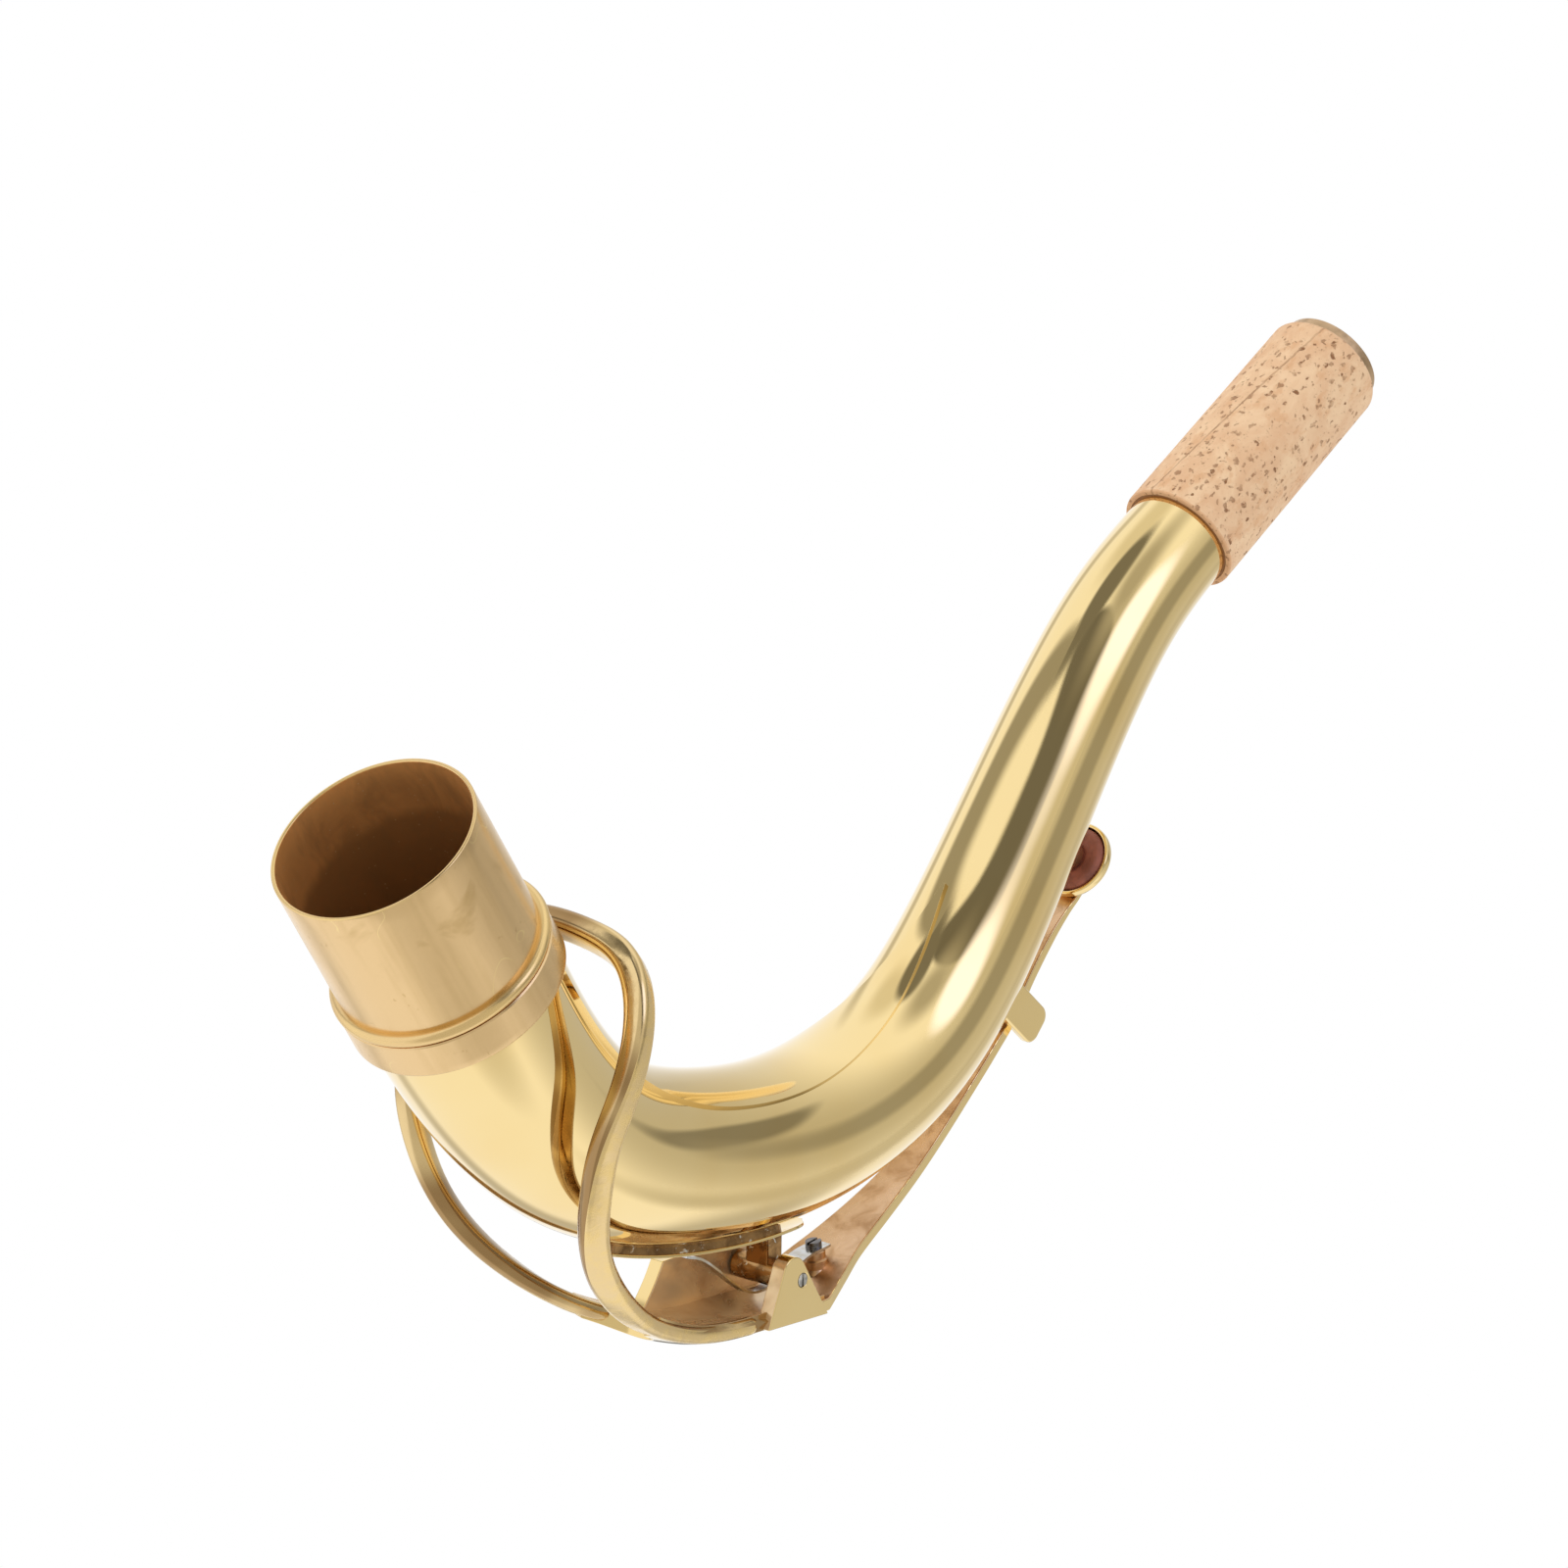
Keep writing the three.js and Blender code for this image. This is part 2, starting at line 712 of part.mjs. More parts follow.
function armThickness(station) {
  return arm_tongue_thickness
    + (arm_root_thickness - arm_tongue_thickness) * armSlab(armShare(station));
}

// The underside of the arm is what the boss, the spring and its screw hang from
function springAnchor() {
  const arm_underside = armTop(spring_station) - armThickness(spring_station);
  return arm_underside - solder_gap - boss_length - layer_gap - spring_thickness;
}

function keyArm() {
  const arm = strip(steps(arm_start, arm_end, arm_steps), {
    top: armTop,
    thickness: armThickness,
    half_width: (station) => arm_root_half_width * armWidth(armShare(station)),
    crown: (station) => arm_root_crown * armWidth(armShare(station)) ** 2,
    columns: 4,
  });
  return cutBy(arm, cupSpace(solder_gap));
}

// Pad cup: lengths along its axis are counted outwards from the pad's face
const cup_back = cup_back_height - pad_face_height;

function cupOutline(gap) {
  const radius = cup_radius + gap;
  const round = cup_back_round + gap;
  return steps(0, Math.PI / 2, 5).map((angle) => [
    radius - round * (1 - Math.cos(angle)),
    cup_back + gap - round * (1 - Math.sin(angle)),
  ]);
}

function cupSpace(gap) {
  const rim = -cut_overrun;
  const outline = cupOutline(gap);
  return turned([[0, rim], [cup_radius + gap, rim], ...outline, [0, cup_back + gap]])
    .applyMatrix4(uprightFrame(pip_station, pad_face_height));
}

function padCup() {
  const bore = cup_radius - cup_wall;
  const floor = cup_back - cup_wall;
  return turned([
    [0, floor],
    [bore, floor],
    [bore, cup_rim_set_back],
    [cup_radius, cup_rim_set_back],
    ...cupOutline(0),
    [0, cup_back],
  ]);
}

function padLeather() {
  const inner = pad_radius - leather_thickness;
  return turned([
    [0, 0],
    [pad_radius - leather_thickness, 0],
    [pad_radius, leather_thickness],
    [pad_radius, pad_side_height],
    [inner, pad_side_height],
    [inner, leather_thickness],
    [0, leather_thickness],
  ]);
}

function disc(radius, from, thickness) {
  return turned([[0, from], [radius, from], [radius, from + thickness], [0, from + thickness]]);
}

function padFelt() {
  return disc(
    pad_radius - leather_thickness - layer_gap, leather_thickness + layer_gap, felt_thickness);
}

function padCard() {
  const from = leather_thickness + felt_thickness + 2 * layer_gap;
  return disc(pad_radius - leather_thickness - layer_gap, from, card_thickness);
}

// Hinge rod with a slotted end
function hingeRod() {
  const length = 2 * ear_outer_half;
  const rod = new THREE.CylinderGeometry(rod_radius, rod_radius, length, small_sides);
  return cutBy(rod, slotCutter(2 * rod_radius, ear_outer_half, -1));
}

// Spring: screwed under the arm, over the barrel, with its free end on the base plate
function springHeights() {
  const over_barrel = hinge_height + barrel_radius + solder_gap;
  const rest = base_top + layer_gap;
  const falling = spring_fall_shares.map((share) => over_barrel + (rest - over_barrel) * share);
  return curveThrough(spring_station_shares, [springAnchor(), springAnchor(), ...falling]);
}

function flatSpring() {
  const from = spring_station + spring_end_margin;
  const to = hinge_station - spring_behind;
  const under = springHeights();
  const plain = strip(steps(to, from, spring_steps), {
    top: (station) => spring_thickness + under((from - station) / (from - to)),
    thickness: () => spring_thickness,
    half_width: () => spring_half_width,
    crown: () => 0,
    columns: 2,
  });
  const hole = new THREE.CylinderGeometry(
    screw_radius + solder_gap, screw_radius + solder_gap, 2 * cut_overrun, small_sides)
    .applyMatrix4(uprightFrame(spring_station, springAnchor()));
  return cutBy(plain, hole);
}

// The arm and all that lies over it, for pieces that end under the arm
function armSpaceAbove() {
  const top = armTop(spring_station) + cut_overrun;
  return strip(steps(arm_start, spring_station + 3 * boss_radius, 12), {
    top: () => top,
    thickness: (station) => top - armTop(station) + armThickness(station) + solder_gap,
    half_width: () => 2 * boss_radius,
    crown: () => 0,
    columns: 2,
  });
}

function springBoss() {
  const from = springAnchor() + spring_thickness + layer_gap;
  const to = armTop(spring_station);
  const bore = screw_radius + solder_gap;
  const post = turnedRing([[boss_radius, from], [boss_radius, to]], [[bore, to], [bore, from]])
    .applyMatrix4(uprightFrame(spring_station, 0));
  return cutBy(post, armSpaceAbove());
}

function springScrew() {
  const seat = springAnchor() - layer_gap;
  const tip = seat + spring_thickness + boss_length;
  const body = turned([
    [0, seat - screw_head_height],
    [screw_head_radius, seat - screw_head_height],
    [screw_head_radius, seat],
    [screw_radius, seat],
    [screw_radius, tip],
    [0, tip],
  ]);
  return cutBy(body, slotCutter(2 * screw_head_radius, seat - screw_head_height, 1));
}

// Materials
const lacquered_brass = { color: 0xd9c07c, roughness: 0.12, metalness: 1 };
const satin_brass = { color: 0xc9a55f, roughness: 0.38, metalness: 1 };
const dull_brass = { color: 0xa98c52, roughness: 0.45, metalness: 1 };
const steel = { color: 0xb9bcc0, roughness: 0.25, metalness: 1 };
const cork = { color: 0xd9ab7c, roughness: 0.85, metalness: 0 };
const leather = { color: 0x6f2a22, roughness: 0.55, metalness: 0 };
const felt = { color: 0xe6e0d2, roughness: 0.95, metalness: 0 };
const card = { color: 0xbfae8c, roughness: 0.9, metalness: 0 };

function piece(name, geometry, look) {
  const mesh = new THREE.Mesh(geometry, new THREE.MeshStandardMaterial(look));
  mesh.name = name;
  return mesh;
}

function placed(frame, ...pieces) {
  const group = new THREE.Group();
  frame.decompose(group.position, group.quaternion, group.scale);
  group.add(...pieces);
  return group;
}

// The neck itself: what is soldered or glued to the tube
const neck = new THREE.Group();
neck.add(
  piece("tenon_sleeve", tenonSleeve(), satin_brass),
  piece("bead_ring", beadRing(), satin_brass),
  piece("collar_band", collarBand(), satin_brass),
  piece("neck_tube", neckTube(), lacquered_brass),
  piece("brace_plate", bracePlate(), lacquered_brass),
  piece("cork_sleeve", corkSleeve(), cork),
  piece("end_ring", endRing(), dull_brass),
  piece("saddle_base", saddleBase(), lacquered_brass),
  piece("saddle_post", saddlePost(), lacquered_brass),
  piece("pip_flange", pipFlange(), lacquered_brass),
  piece("arm_guide", armGuide(), lacquered_brass),
  placed(uprightFrame(pip_station, 0), piece("octave_pip", octavePip(), lacquered_brass)),
);

const hinge_axis = above(hinge_station, hinge_height);
const barrel = piece("hinge_barrel", hingeBarrel(), lacquered_brass);
barrel.position.copy(hinge_axis);
neck.add(barrel);

// The octave key, at rest with its pad on the pip
const octave_key = new THREE.Group();
const rod = piece("hinge_rod", hingeRod(), steel);
rod.position.copy(hinge_axis);
octave_key.add(
  rod,
  piece("key_body", keyBody(), lacquered_brass),
  piece("key_loop", keyLoop(), lacquered_brass),
  piece("key_arm", keyArm(), lacquered_brass),
  piece("spring_boss", springBoss(), dull_brass),
  piece("flat_spring", flatSpring(), steel),
  placed(uprightFrame(spring_station, 0), piece("spring_screw", springScrew(), steel)),
  placed(
    uprightFrame(pip_station, pad_face_height),
    piece("pad_cup", padCup(), lacquered_brass),
    piece("pad_leather", padLeather(), leather),
    piece("pad_felt", padFelt(), felt),
    piece("pad_card", padCard(), card),
  ),
);

const saxophone_neck = new THREE.Group();
saxophone_neck.add(neck, octave_key);

export default saxophone_neck;
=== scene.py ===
"""The looks of a tenor saxophone neck with its octave key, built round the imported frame.

Lengths are metres. A station is a length along the neck's centreline from the tenon's open end,
and a height is a distance from the tube's outside, on the outer side of the bend.
"""
import math

import bmesh
import bpy
from bpy.props import FloatProperty, FloatVectorProperty, PointerProperty
from mathutils import Matrix, Vector


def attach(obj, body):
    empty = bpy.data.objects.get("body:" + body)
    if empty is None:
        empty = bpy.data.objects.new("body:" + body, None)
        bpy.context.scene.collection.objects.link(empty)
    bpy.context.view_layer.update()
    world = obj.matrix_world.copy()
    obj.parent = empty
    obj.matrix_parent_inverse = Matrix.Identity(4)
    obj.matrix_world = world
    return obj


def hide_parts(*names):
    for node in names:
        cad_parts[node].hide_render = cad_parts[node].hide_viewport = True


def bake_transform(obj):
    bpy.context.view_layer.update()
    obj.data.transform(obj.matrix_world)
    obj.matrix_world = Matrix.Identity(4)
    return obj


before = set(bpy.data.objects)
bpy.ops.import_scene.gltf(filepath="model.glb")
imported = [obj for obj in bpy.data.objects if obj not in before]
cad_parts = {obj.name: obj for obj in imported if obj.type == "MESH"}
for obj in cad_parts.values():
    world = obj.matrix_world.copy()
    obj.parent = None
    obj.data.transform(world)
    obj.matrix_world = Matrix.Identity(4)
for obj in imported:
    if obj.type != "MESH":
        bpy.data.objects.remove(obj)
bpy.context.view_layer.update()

bl_info = {
    "name": "Saxophone neck",
    "version": (1, 0, 0),
    "blender": (4, 5, 0),
    "location": "View3D > Sidebar > Saxophone neck",
    "description": "Builds a tenor saxophone neck with its octave key around the packed frame",
    "category": "Object",
}

MM = 0.001
FIXED = "neck"
MOVING = "octave_key"

# How far a piece is sunk into what carries it, and the joint left between two pieces end to end
SUNK = 0.05 * MM
JOINT = 0.2 * MM
# The play between the barrel and a lug, and between the rod and the barrel
PLAY = 0.3 * MM
ROD_CLEARANCE = 0.05 * MM
# Points nearer than this on a turned shape are one point
MERGED = 0.001 * MM

# How many sides the turned pieces have
TENON_SIDES, TUBE_SIDES, CORK_SIDES, PAD_SIDES = 160, 128, 200, 96
PIP_SIDES, FLANGE_SIDES, STUD_SIDES, SCREW_SIDES = 64, 72, 56, 48

# Segments of a rounded edge, and the arc steps of the loop's corners
BEVEL_SEGMENTS = 3
CORNER_STEPS = 5

# The angle between the centreline and +Z at equal steps of the bend
BEND_ANGLES = (0, 11.8, 38.3, 53.2, 75, 103, 109.1, 104, 86.2)
SPINE_STEPS = 600

# The inner side of the bend, in degrees from its outer side
INNER_SIDE = 180

# The brace's half angle round the tube, along its length
BRACE_PLACES = (0, 0.1, 0.28, 0.45, 0.63, 0.78, 0.92, 1)
BRACE_HALF_ANGLES = (53, 49, 42.5, 44, 37, 25, 11, 1.5)

# The web's height and width along it
WEB_PLACES = (0, 0.07, 0.24, 0.41, 0.58, 0.73, 0.86, 1)
WEB_HEIGHTS = (0.69, 0.72, 0.83, 0.92, 0.95, 0.94, 0.95, 0.99)
WEB_WIDTHS = (1, 0.95, 0.82, 0.73, 0.68, 0.67, 0.68, 0.69)

# The loop's place, radius and thickness, by the angle from the outer side of the bend
LOOP_ANGLES = (20.8, 39, 57, 75, 97, 120, 139, 160, 180)
LOOP_PLACES = (1, 0.7, 0.52, 0.38, 0.29, 0.16, 0.05, 0.01, 0)
LOOP_RADII = (1.165, 1.06, 0.985, 0.96, 1, 1.11, 1.155, 1.025, 0.985)
LOOP_THICKNESSES = (0.75, 0.85, 0.9, 0.9, 0.95, 1.05, 1.1, 1, 0.95)
LOOP_SMOOTHINGS = 3

# The arm's rise, width and thickness along it
ARM_PLACES = (0, 0.05, 0.11, 0.2, 0.29, 0.37, 0.45, 0.53, 0.61, 0.7, 0.79, 0.85, 0.9, 1)
ARM_RISES = (1, 0.63, 0.3, 0.01, -0.21, -0.43, -0.56, -0.56, -0.48, -0.49, -0.39, -0.24, -0.06, 0)
ARM_WIDTHS = (1, 0.85, 0.66, 0.5, 0.39, 0.35, 0.33, 0.32, 0.31, 0.3, 0.3, 0.3, 0.3, 0.28)
ARM_SLABS = (1, 1, 0.9, 0.85, 0.8, 0.73, 0.68, 0.68, 0.68, 0.68, 0.6, 0.35, 0.05, 0)

# The arm's thin end on the cup and how far it runs past the pad's middle, the depth of the
# pad in its cup, the spring's screw ahead of the hinge, and the stud's length under the arm
TONGUE = 0.75 * MM
ARM_PAST_PAD = 2.5 * MM
PAD_DEPTH = 1.65 * MM
SPRING_AHEAD = 8 * MM
STUD_DROP = 1.4 * MM

# About how far the key lies over the tube
OVER_TUBE = 8 * MM

# The spring's fall from its screw to the base plate
SPRING_PLACES = (0, 0.16, 0.36, 0.5, 0.63, 0.76, 0.88, 1)
SPRING_FALLS = (0, 0, 0.3, 0.65, 0.9, 1)

# The pad's puffed face, from its middle to its edge, in millimetres towards the cup
PUFF_PLACES = (0, 0.3, 0.42, 0.5, 0.7, 0.86, 1)
PUFF_DEPTHS = (0, 0.02, 0.06, -0.1, -0.22, -0.12, 0.3)

# The cork's seam: its angle from the inner side of the bend at the tip, and its lean
SEAM_ANGLE = 22.6
SEAM_LEAN = 0.848
SEAM_STEP = 0.09 * MM

# The least size of a speck, as a share of its cell, and the straw colour of tempered steel
LEAST_SPOT = 0.001
STRAW_TINT = (0.55, 0.48, 0.36)


def length(label, description, millimetres):
    """A length that is shown in the panel."""
    return FloatProperty(
        name=label, description=description, default=millimetres * MM,
        min=0, precision=5, subtype="DISTANCE", unit="LENGTH")


def colour(label, description, red, green, blue):
    """A colour that is shown in the panel."""
    return FloatVectorProperty(
        name=label, description=description, default=(red, green, blue),
        min=0, max=1, size=3, subtype="COLOR")


class NeckSizes(bpy.types.PropertyGroup):
    """Sizes of the tenon, the tube and what is fixed to it"""

    tenon_radius: length("Tenon radius", "Outside of the tenon", 13.75)
    tenon_wall: length("Tenon wall", "Wall of the tenon", 0.8)
    tenon_length: length("Tenon length", "From the open end to the bead", 20.7)
    bead_radius: length("Bead radius", "Outside of the bead", 14.85)
    bead_half_height: length("Bead half height", "Half of the bead's height", 0.9)
    collar_radius: length("Collar radius", "Outside of the collar", 14.65)
    collar_height: length("Collar height", "Height of the collar", 4.9)
    tube_base_radius: length("Tube base radius", "Outside of the tube at the collar", 13.15)
    tube_cork_radius: length("Tube cork radius", "Outside of the tube at the cork", 7.45)
    tube_tip_radius: length("Tube tip radius", "Outside of the tube at its tip", 6.35)
    tube_waist: length("Tube waist", "How far the taper draws in halfway", 0.22)
    tube_wall: length("Tube wall", "Wall of the tube", 0.8)
    bend_length: length("Bend length", "Centreline from the collar to the cork", 184.1)
    cork_length: length("Cork length", "Length of the cork", 37.3)
    cork_rim_radius: length("Cork rim radius", "Outside of the cork at its rim", 8.54)
    cork_tip_radius: length("Cork tip radius", "Outside of the cork at the tip", 8.3)
    end_ring_radius: length("End ring radius", "Outside of the ring at the tip", 7.2)
    end_ring_length: length("End ring length", "Length of the ring at the tip", 1.3)
    brace_length: length("Brace length", "Length of the brace", 122.6)
    brace_thickness: length("Brace thickness", "Thickness of the brace", 0.5)
    pip_station: length("Pip station", "Place of the octave pip", 165.4)
    pip_radius: length("Pip radius", "Outside of the octave pip", 2)
    pip_flange_radius: length("Pip flange radius", "Outside of the pip's flange", 3.4)
    guide_station: length("Guide station", "Place of the arm's guide", 143.6)
    guide_length: length("Guide length", "Length of the guide", 5.4)
    guide_height: length("Guide height", "Height of the guide's cheeks", 8.6)
    guide_wall: length("Guide wall", "Thickness of the guide's cheeks", 1.2)


class KeySizes(bpy.types.PropertyGroup):
    """Sizes of the saddle and the octave key"""

    hinge_station: length("Hinge station", "Place of the hinge", 99.7)
    hinge_height: length("Hinge height", "Height of the hinge's axis", 6.72)
    barrel_radius: length("Barrel radius", "Outside of the hinge barrel", 1.9)
    barrel_half: length("Barrel half length", "Half of the hinge barrel's length", 4.3)
    rod_radius: length("Rod radius", "Radius of the pivot rod", 0.9)
    base_behind: length("Base behind", "Base plate behind the hinge", 29.5)
    base_ahead: length("Base ahead", "Base plate ahead of the hinge", 4.8)
    base_half_width: length("Base half width", "Half of the base plate's width", 4)
    base_thickness: length("Base thickness", "Thickness of the base plate", 1.5)
    web_behind: length("Web behind", "Web behind the hinge", 29.7)
    web_ahead: length("Web ahead", "Web ahead of the hinge", 4.2)
    web_height: length("Web height", "Height of the web over the tube", 12.9)
    web_thickness: length("Web thickness", "Thickness of the web", 2.4)
    web_crown: length("Web crown", "Arch of the web across its width", 1.2)
    web_half_width: length("Web half width", "Half of the web's width at the loop", 9.4)
    lug_thickness: length("Lug thickness", "Thickness of the lugs", 2.2)
    loop_width: length("Loop width", "Width of the loop's bar", 4)
    loop_thickness: length("Loop thickness", "Thickness of the loop's bar", 3.2)
    loop_edge: length("Loop edge", "Rounding of the loop's edges", 1.1)
    arm_height: length("Arm height", "Height of the arm at the web", 12.7)
    arm_half_width: length("Arm half width", "Half of the arm's width at the web", 6.5)
    arm_thickness: length("Arm thickness", "Thickness of the arm at the web", 1.8)
    arm_crown: length("Arm crown", "Arch of the arm across its width", 0.9)
    pad_height: length("Pad height", "Height of the pad's face at rest", 4.6)
    pad_radius: length("Pad radius", "Radius of the pad", 4.45)
    cup_radius: length("Cup radius", "Radius of the pad cup", 5.3)
    cup_wall: length("Cup wall", "Wall of the pad cup", 0.55)
    spring_thickness: length("Spring thickness", "Thickness of the flat spring", 0.35)


class NeckColours(bpy.types.PropertyGroup):
    """Colours of the finishes"""

    lacquer: colour("Lacquered brass", "Polished brass under lacquer", 0.95, 0.735, 0.35)
    lacquer_deep: colour("Lacquered brass, deep", "Its deeper patches", 0.92, 0.68, 0.29)
    satin: colour("Satin brass", "Turned brass of tenon and collar", 0.84, 0.595, 0.31)
    satin_stain: colour("Satin stain", "Stains on the turned brass", 0.62, 0.42, 0.18)
    bar: colour("Bar brass", "Brass of the loop", 0.84, 0.63, 0.32)
    bead: colour("Bead brass", "Brass of the bead", 0.84, 0.6, 0.29)
    mouth: colour("Mouth", "Inside of the tenon", 0.84, 0.43, 0.14)
    bore: colour("Bore", "Inside of the tube", 0.62, 0.30, 0.10)
    cast: colour("Cast brass", "Underside of the arm", 0.76, 0.51, 0.31)
    cast_dark: colour("Cast brass, dark", "Dark patches of the arm's underside", 0.55, 0.33, 0.17)
    # Brown of the painted dark reflections on the loop's inner faces and the web's sides
    painted_dark_reflection: colour("Tarnish", "Brown tarnish on the loop's inner faces", 0.40, 0.25, 0.11)
    # Painted highlights and painted shade on the faces under the web and inside the lugs
    golden: colour("Golden brass", "Underside of the web", 0.95, 0.72, 0.43)
    golden_dark: colour("Golden brass, dark", "Its dark patches", 0.60, 0.36, 0.17)
    # Brown of the painted shade on the saddle under the key, and its darker patches
    saddle_shade: colour("Burnt brass", "Saddle after soldering", 0.50, 0.29, 0.12)
    saddle_shade_dark: colour("Burnt brass, dark", "Dark patches of the saddle", 0.22, 0.12, 0.05)
    solder: colour("Solder", "Traces of solder on the saddle", 0.80, 0.77, 0.70)
    dull: colour("Dull brass", "End ring and pip", 0.66, 0.46, 0.28)
    cork: colour("Cork", "Ground colour of the cork", 0.76, 0.47, 0.27)
    cork_pale: colour("Cork, pale", "Pale patches of the cork", 0.87, 0.61, 0.38)
    cork_warm: colour("Cork, warm", "Reddish patches of the cork", 0.70, 0.38, 0.19)
    cork_speck: colour("Cork specks", "Dark specks of the cork", 0.28, 0.125, 0.05)
    leather: colour("Pad leather", "Leather of the pad", 0.4, 0.125, 0.085)
    felt: colour("Pad felt", "Felt of the pad", 0.72, 0.68, 0.58)
    card: colour("Pad card", "Card of the pad", 0.50, 0.42, 0.30)
    steel: colour("Steel", "Pivot rod", 0.76, 0.75, 0.73)
    dark_steel: colour("Dark steel", "Spring screw", 0.16, 0.15, 0.15)
    blued_steel: colour("Blued steel", "Flat spring", 0.64, 0.65, 0.66)
    floor: colour("Floor", "Floor of the scene", 0.90, 0.90, 0.90)


# Curves and places

def curve_through(places, values, flat_ends=False):
    """A smooth curve through values at rising places."""
    last = len(places) - 1

    def slope_at(k):
        if flat_ends and k in (0, last):
            return 0
        before, after = max(k - 1, 0), min(k + 1, last)
        return (values[after] - values[before]) / (places[after] - places[before])

    def value_at(place):
        at = clamped(place, places[0], places[last])
        k = 0
        while k < last - 1 and at > places[k + 1]:
            k += 1
        step = places[k + 1] - places[k]
        u = (at - places[k]) / step
        rise = u * u * (3 - 2 * u)
        leave = u * (1 - u) * (1 - u) * step * slope_at(k)
        arrive = u * u * (u - 1) * step * slope_at(k + 1)
        return values[k] + rise * (values[k + 1] - values[k]) + leave + arrive

    return value_at


def clamped(value, low=0, high=1):
    return min(max(value, low), high)


def quarter_round(share):
    """Rises from 0 to 1 as a quarter of a circle does."""
    return math.sqrt(1 - (1 - share) ** 2)


def steps(start, end, count):
    """Equal steps from one value to another."""
    return [start + (end - start) * i / count for i in range(count + 1)]


def arc(centre_r, centre_z, radius, start, end, count):
    """Points of a profile on an arc, by degrees from the outward direction."""
    angles = [math.radians(degrees) for degrees in steps(start, end, count)]
    return [(centre_r + radius * math.cos(a), centre_z + radius * math.sin(a)) for a in angles]


class Neck:
    """The neck's centreline and the places beside it, from the sizes in the panel."""

    def __init__(self, sizes):
        self.sizes = sizes
        self.collar_start = sizes.tenon_length + 2 * sizes.bead_half_height + JOINT
        self.bend_start = self.collar_start + sizes.collar_height
        self.bend_end = self.bend_start + sizes.bend_length
        self.ring_start = self.bend_end + sizes.cork_length + JOINT
        self.tip = self.ring_start + sizes.end_ring_length
        places = [i / (len(BEND_ANGLES) - 1) for i in range(len(BEND_ANGLES))]
        self.angle = curve_through(places, BEND_ANGLES, flat_ends=True)
        step = self.tip / SPINE_STEPS
        self.spine = [Vector((0, 0))]
        for i in range(SPINE_STEPS):
            lean = self.lean((i + 0.5) * step)
            self.spine.append(self.spine[i] + step * Vector((math.sin(lean), math.cos(lean))))

    def lean(self, station):
        """The centreline's angle from +Z."""
        return math.radians(self.angle((station - self.bend_start) / self.sizes.bend_length))

    def centre(self, station):
        """The centreline's x and z."""
        u = station / self.tip * SPINE_STEPS
        i = clamped(math.floor(u), 0, SPINE_STEPS - 1)
        return self.spine[i] + (self.spine[i + 1] - self.spine[i]) * (u - i)

    def radius(self, station):
        """The tube's outer radius."""
        s = self.sizes
        u = clamped((station - self.bend_start) / s.bend_length)
        v = clamped((station - self.bend_end) / (self.tip - self.bend_end))
        return (s.tube_base_radius + (s.tube_cork_radius - s.tube_base_radius) * u
                - 4 * s.tube_waist * u * (1 - u) + (s.tube_tip_radius - s.tube_cork_radius) * v)

    def beside(self, station, inward, y):
        """A point so far towards the inner side of the bend and so far along Y."""
        lean, centre = self.lean(station), self.centre(station)
        return Vector((centre.x + inward * math.cos(lean), y, centre.y - inward * math.sin(lean)))

    def above(self, station, height, y=0):
        """A point at a height over the outer side of the tube."""
        return self.beside(station, -(self.radius(station) + height), y)

    def around(self, station, radius, degrees):
        """A point round the centreline, by its angle from the outer side of the bend."""
        angle = math.radians(degrees)
        return self.beside(station, -radius * math.cos(angle), radius * math.sin(angle))

    def axes(self, station):
        """Unit vectors along the tube, across it, and out from its outer side."""
        lean = self.lean(station)
        along = Vector((math.sin(lean), 0, math.cos(lean)))
        out = Vector((-math.cos(lean), 0, math.sin(lean)))
        return along, Vector((0, 1, 0)), out

    def upright(self, station, height):
        """A frame with z out from the tube, x along it and y across it."""
        return framed(*self.axes(station), self.above(station, height))

    def sideways(self, station, height, y):
        """A frame for outlines across the neck: x along, y out, z towards -Y."""
        along, across, out = self.axes(station)
        return framed(along, out, -across, self.above(station, height, y))

    def hugging(self, station, point):
        """Takes a point of a flat piece to the tube: x along, y round it, z above it."""
        at = station + point.x
        radius = self.radius(at)
        return self.around(at, radius + point.z, math.degrees(point.y / radius))


def framed(x, y, z, origin):
    """A matrix from three axes and an origin."""
    matrix = Matrix((x, y, z)).transposed().to_4x4()
    matrix.translation = origin
    return matrix


# Shapes

def chained(mesh, points, closed):
    """New vertices at points, joined in a row by edges."""
    verts = [mesh.verts.new(point) for point in points]
    ends = verts[1:] + (verts[:1] if closed else [])
    return verts, [mesh.edges.new(pair) for pair in zip(verts, ends)]


def spun(profile, sides, closed=True):
    """Turns a profile of [radius, length] points about Z. A closed profile makes a ring."""
    mesh = bmesh.new()
    verts, edges = chained(mesh, [(radius, 0, z) for radius, z in profile], closed)
    bmesh.ops.spin(mesh, geom=verts + edges, cent=(0, 0, 0), axis=(0, 0, 1),
                   angle=2 * math.pi, steps=sides, use_merge=True)
    bmesh.ops.remove_doubles(mesh, verts=mesh.verts[:], dist=MERGED)
    bmesh.ops.recalc_face_normals(mesh, faces=mesh.faces[:])
    mesh.normal_update()
    return mesh


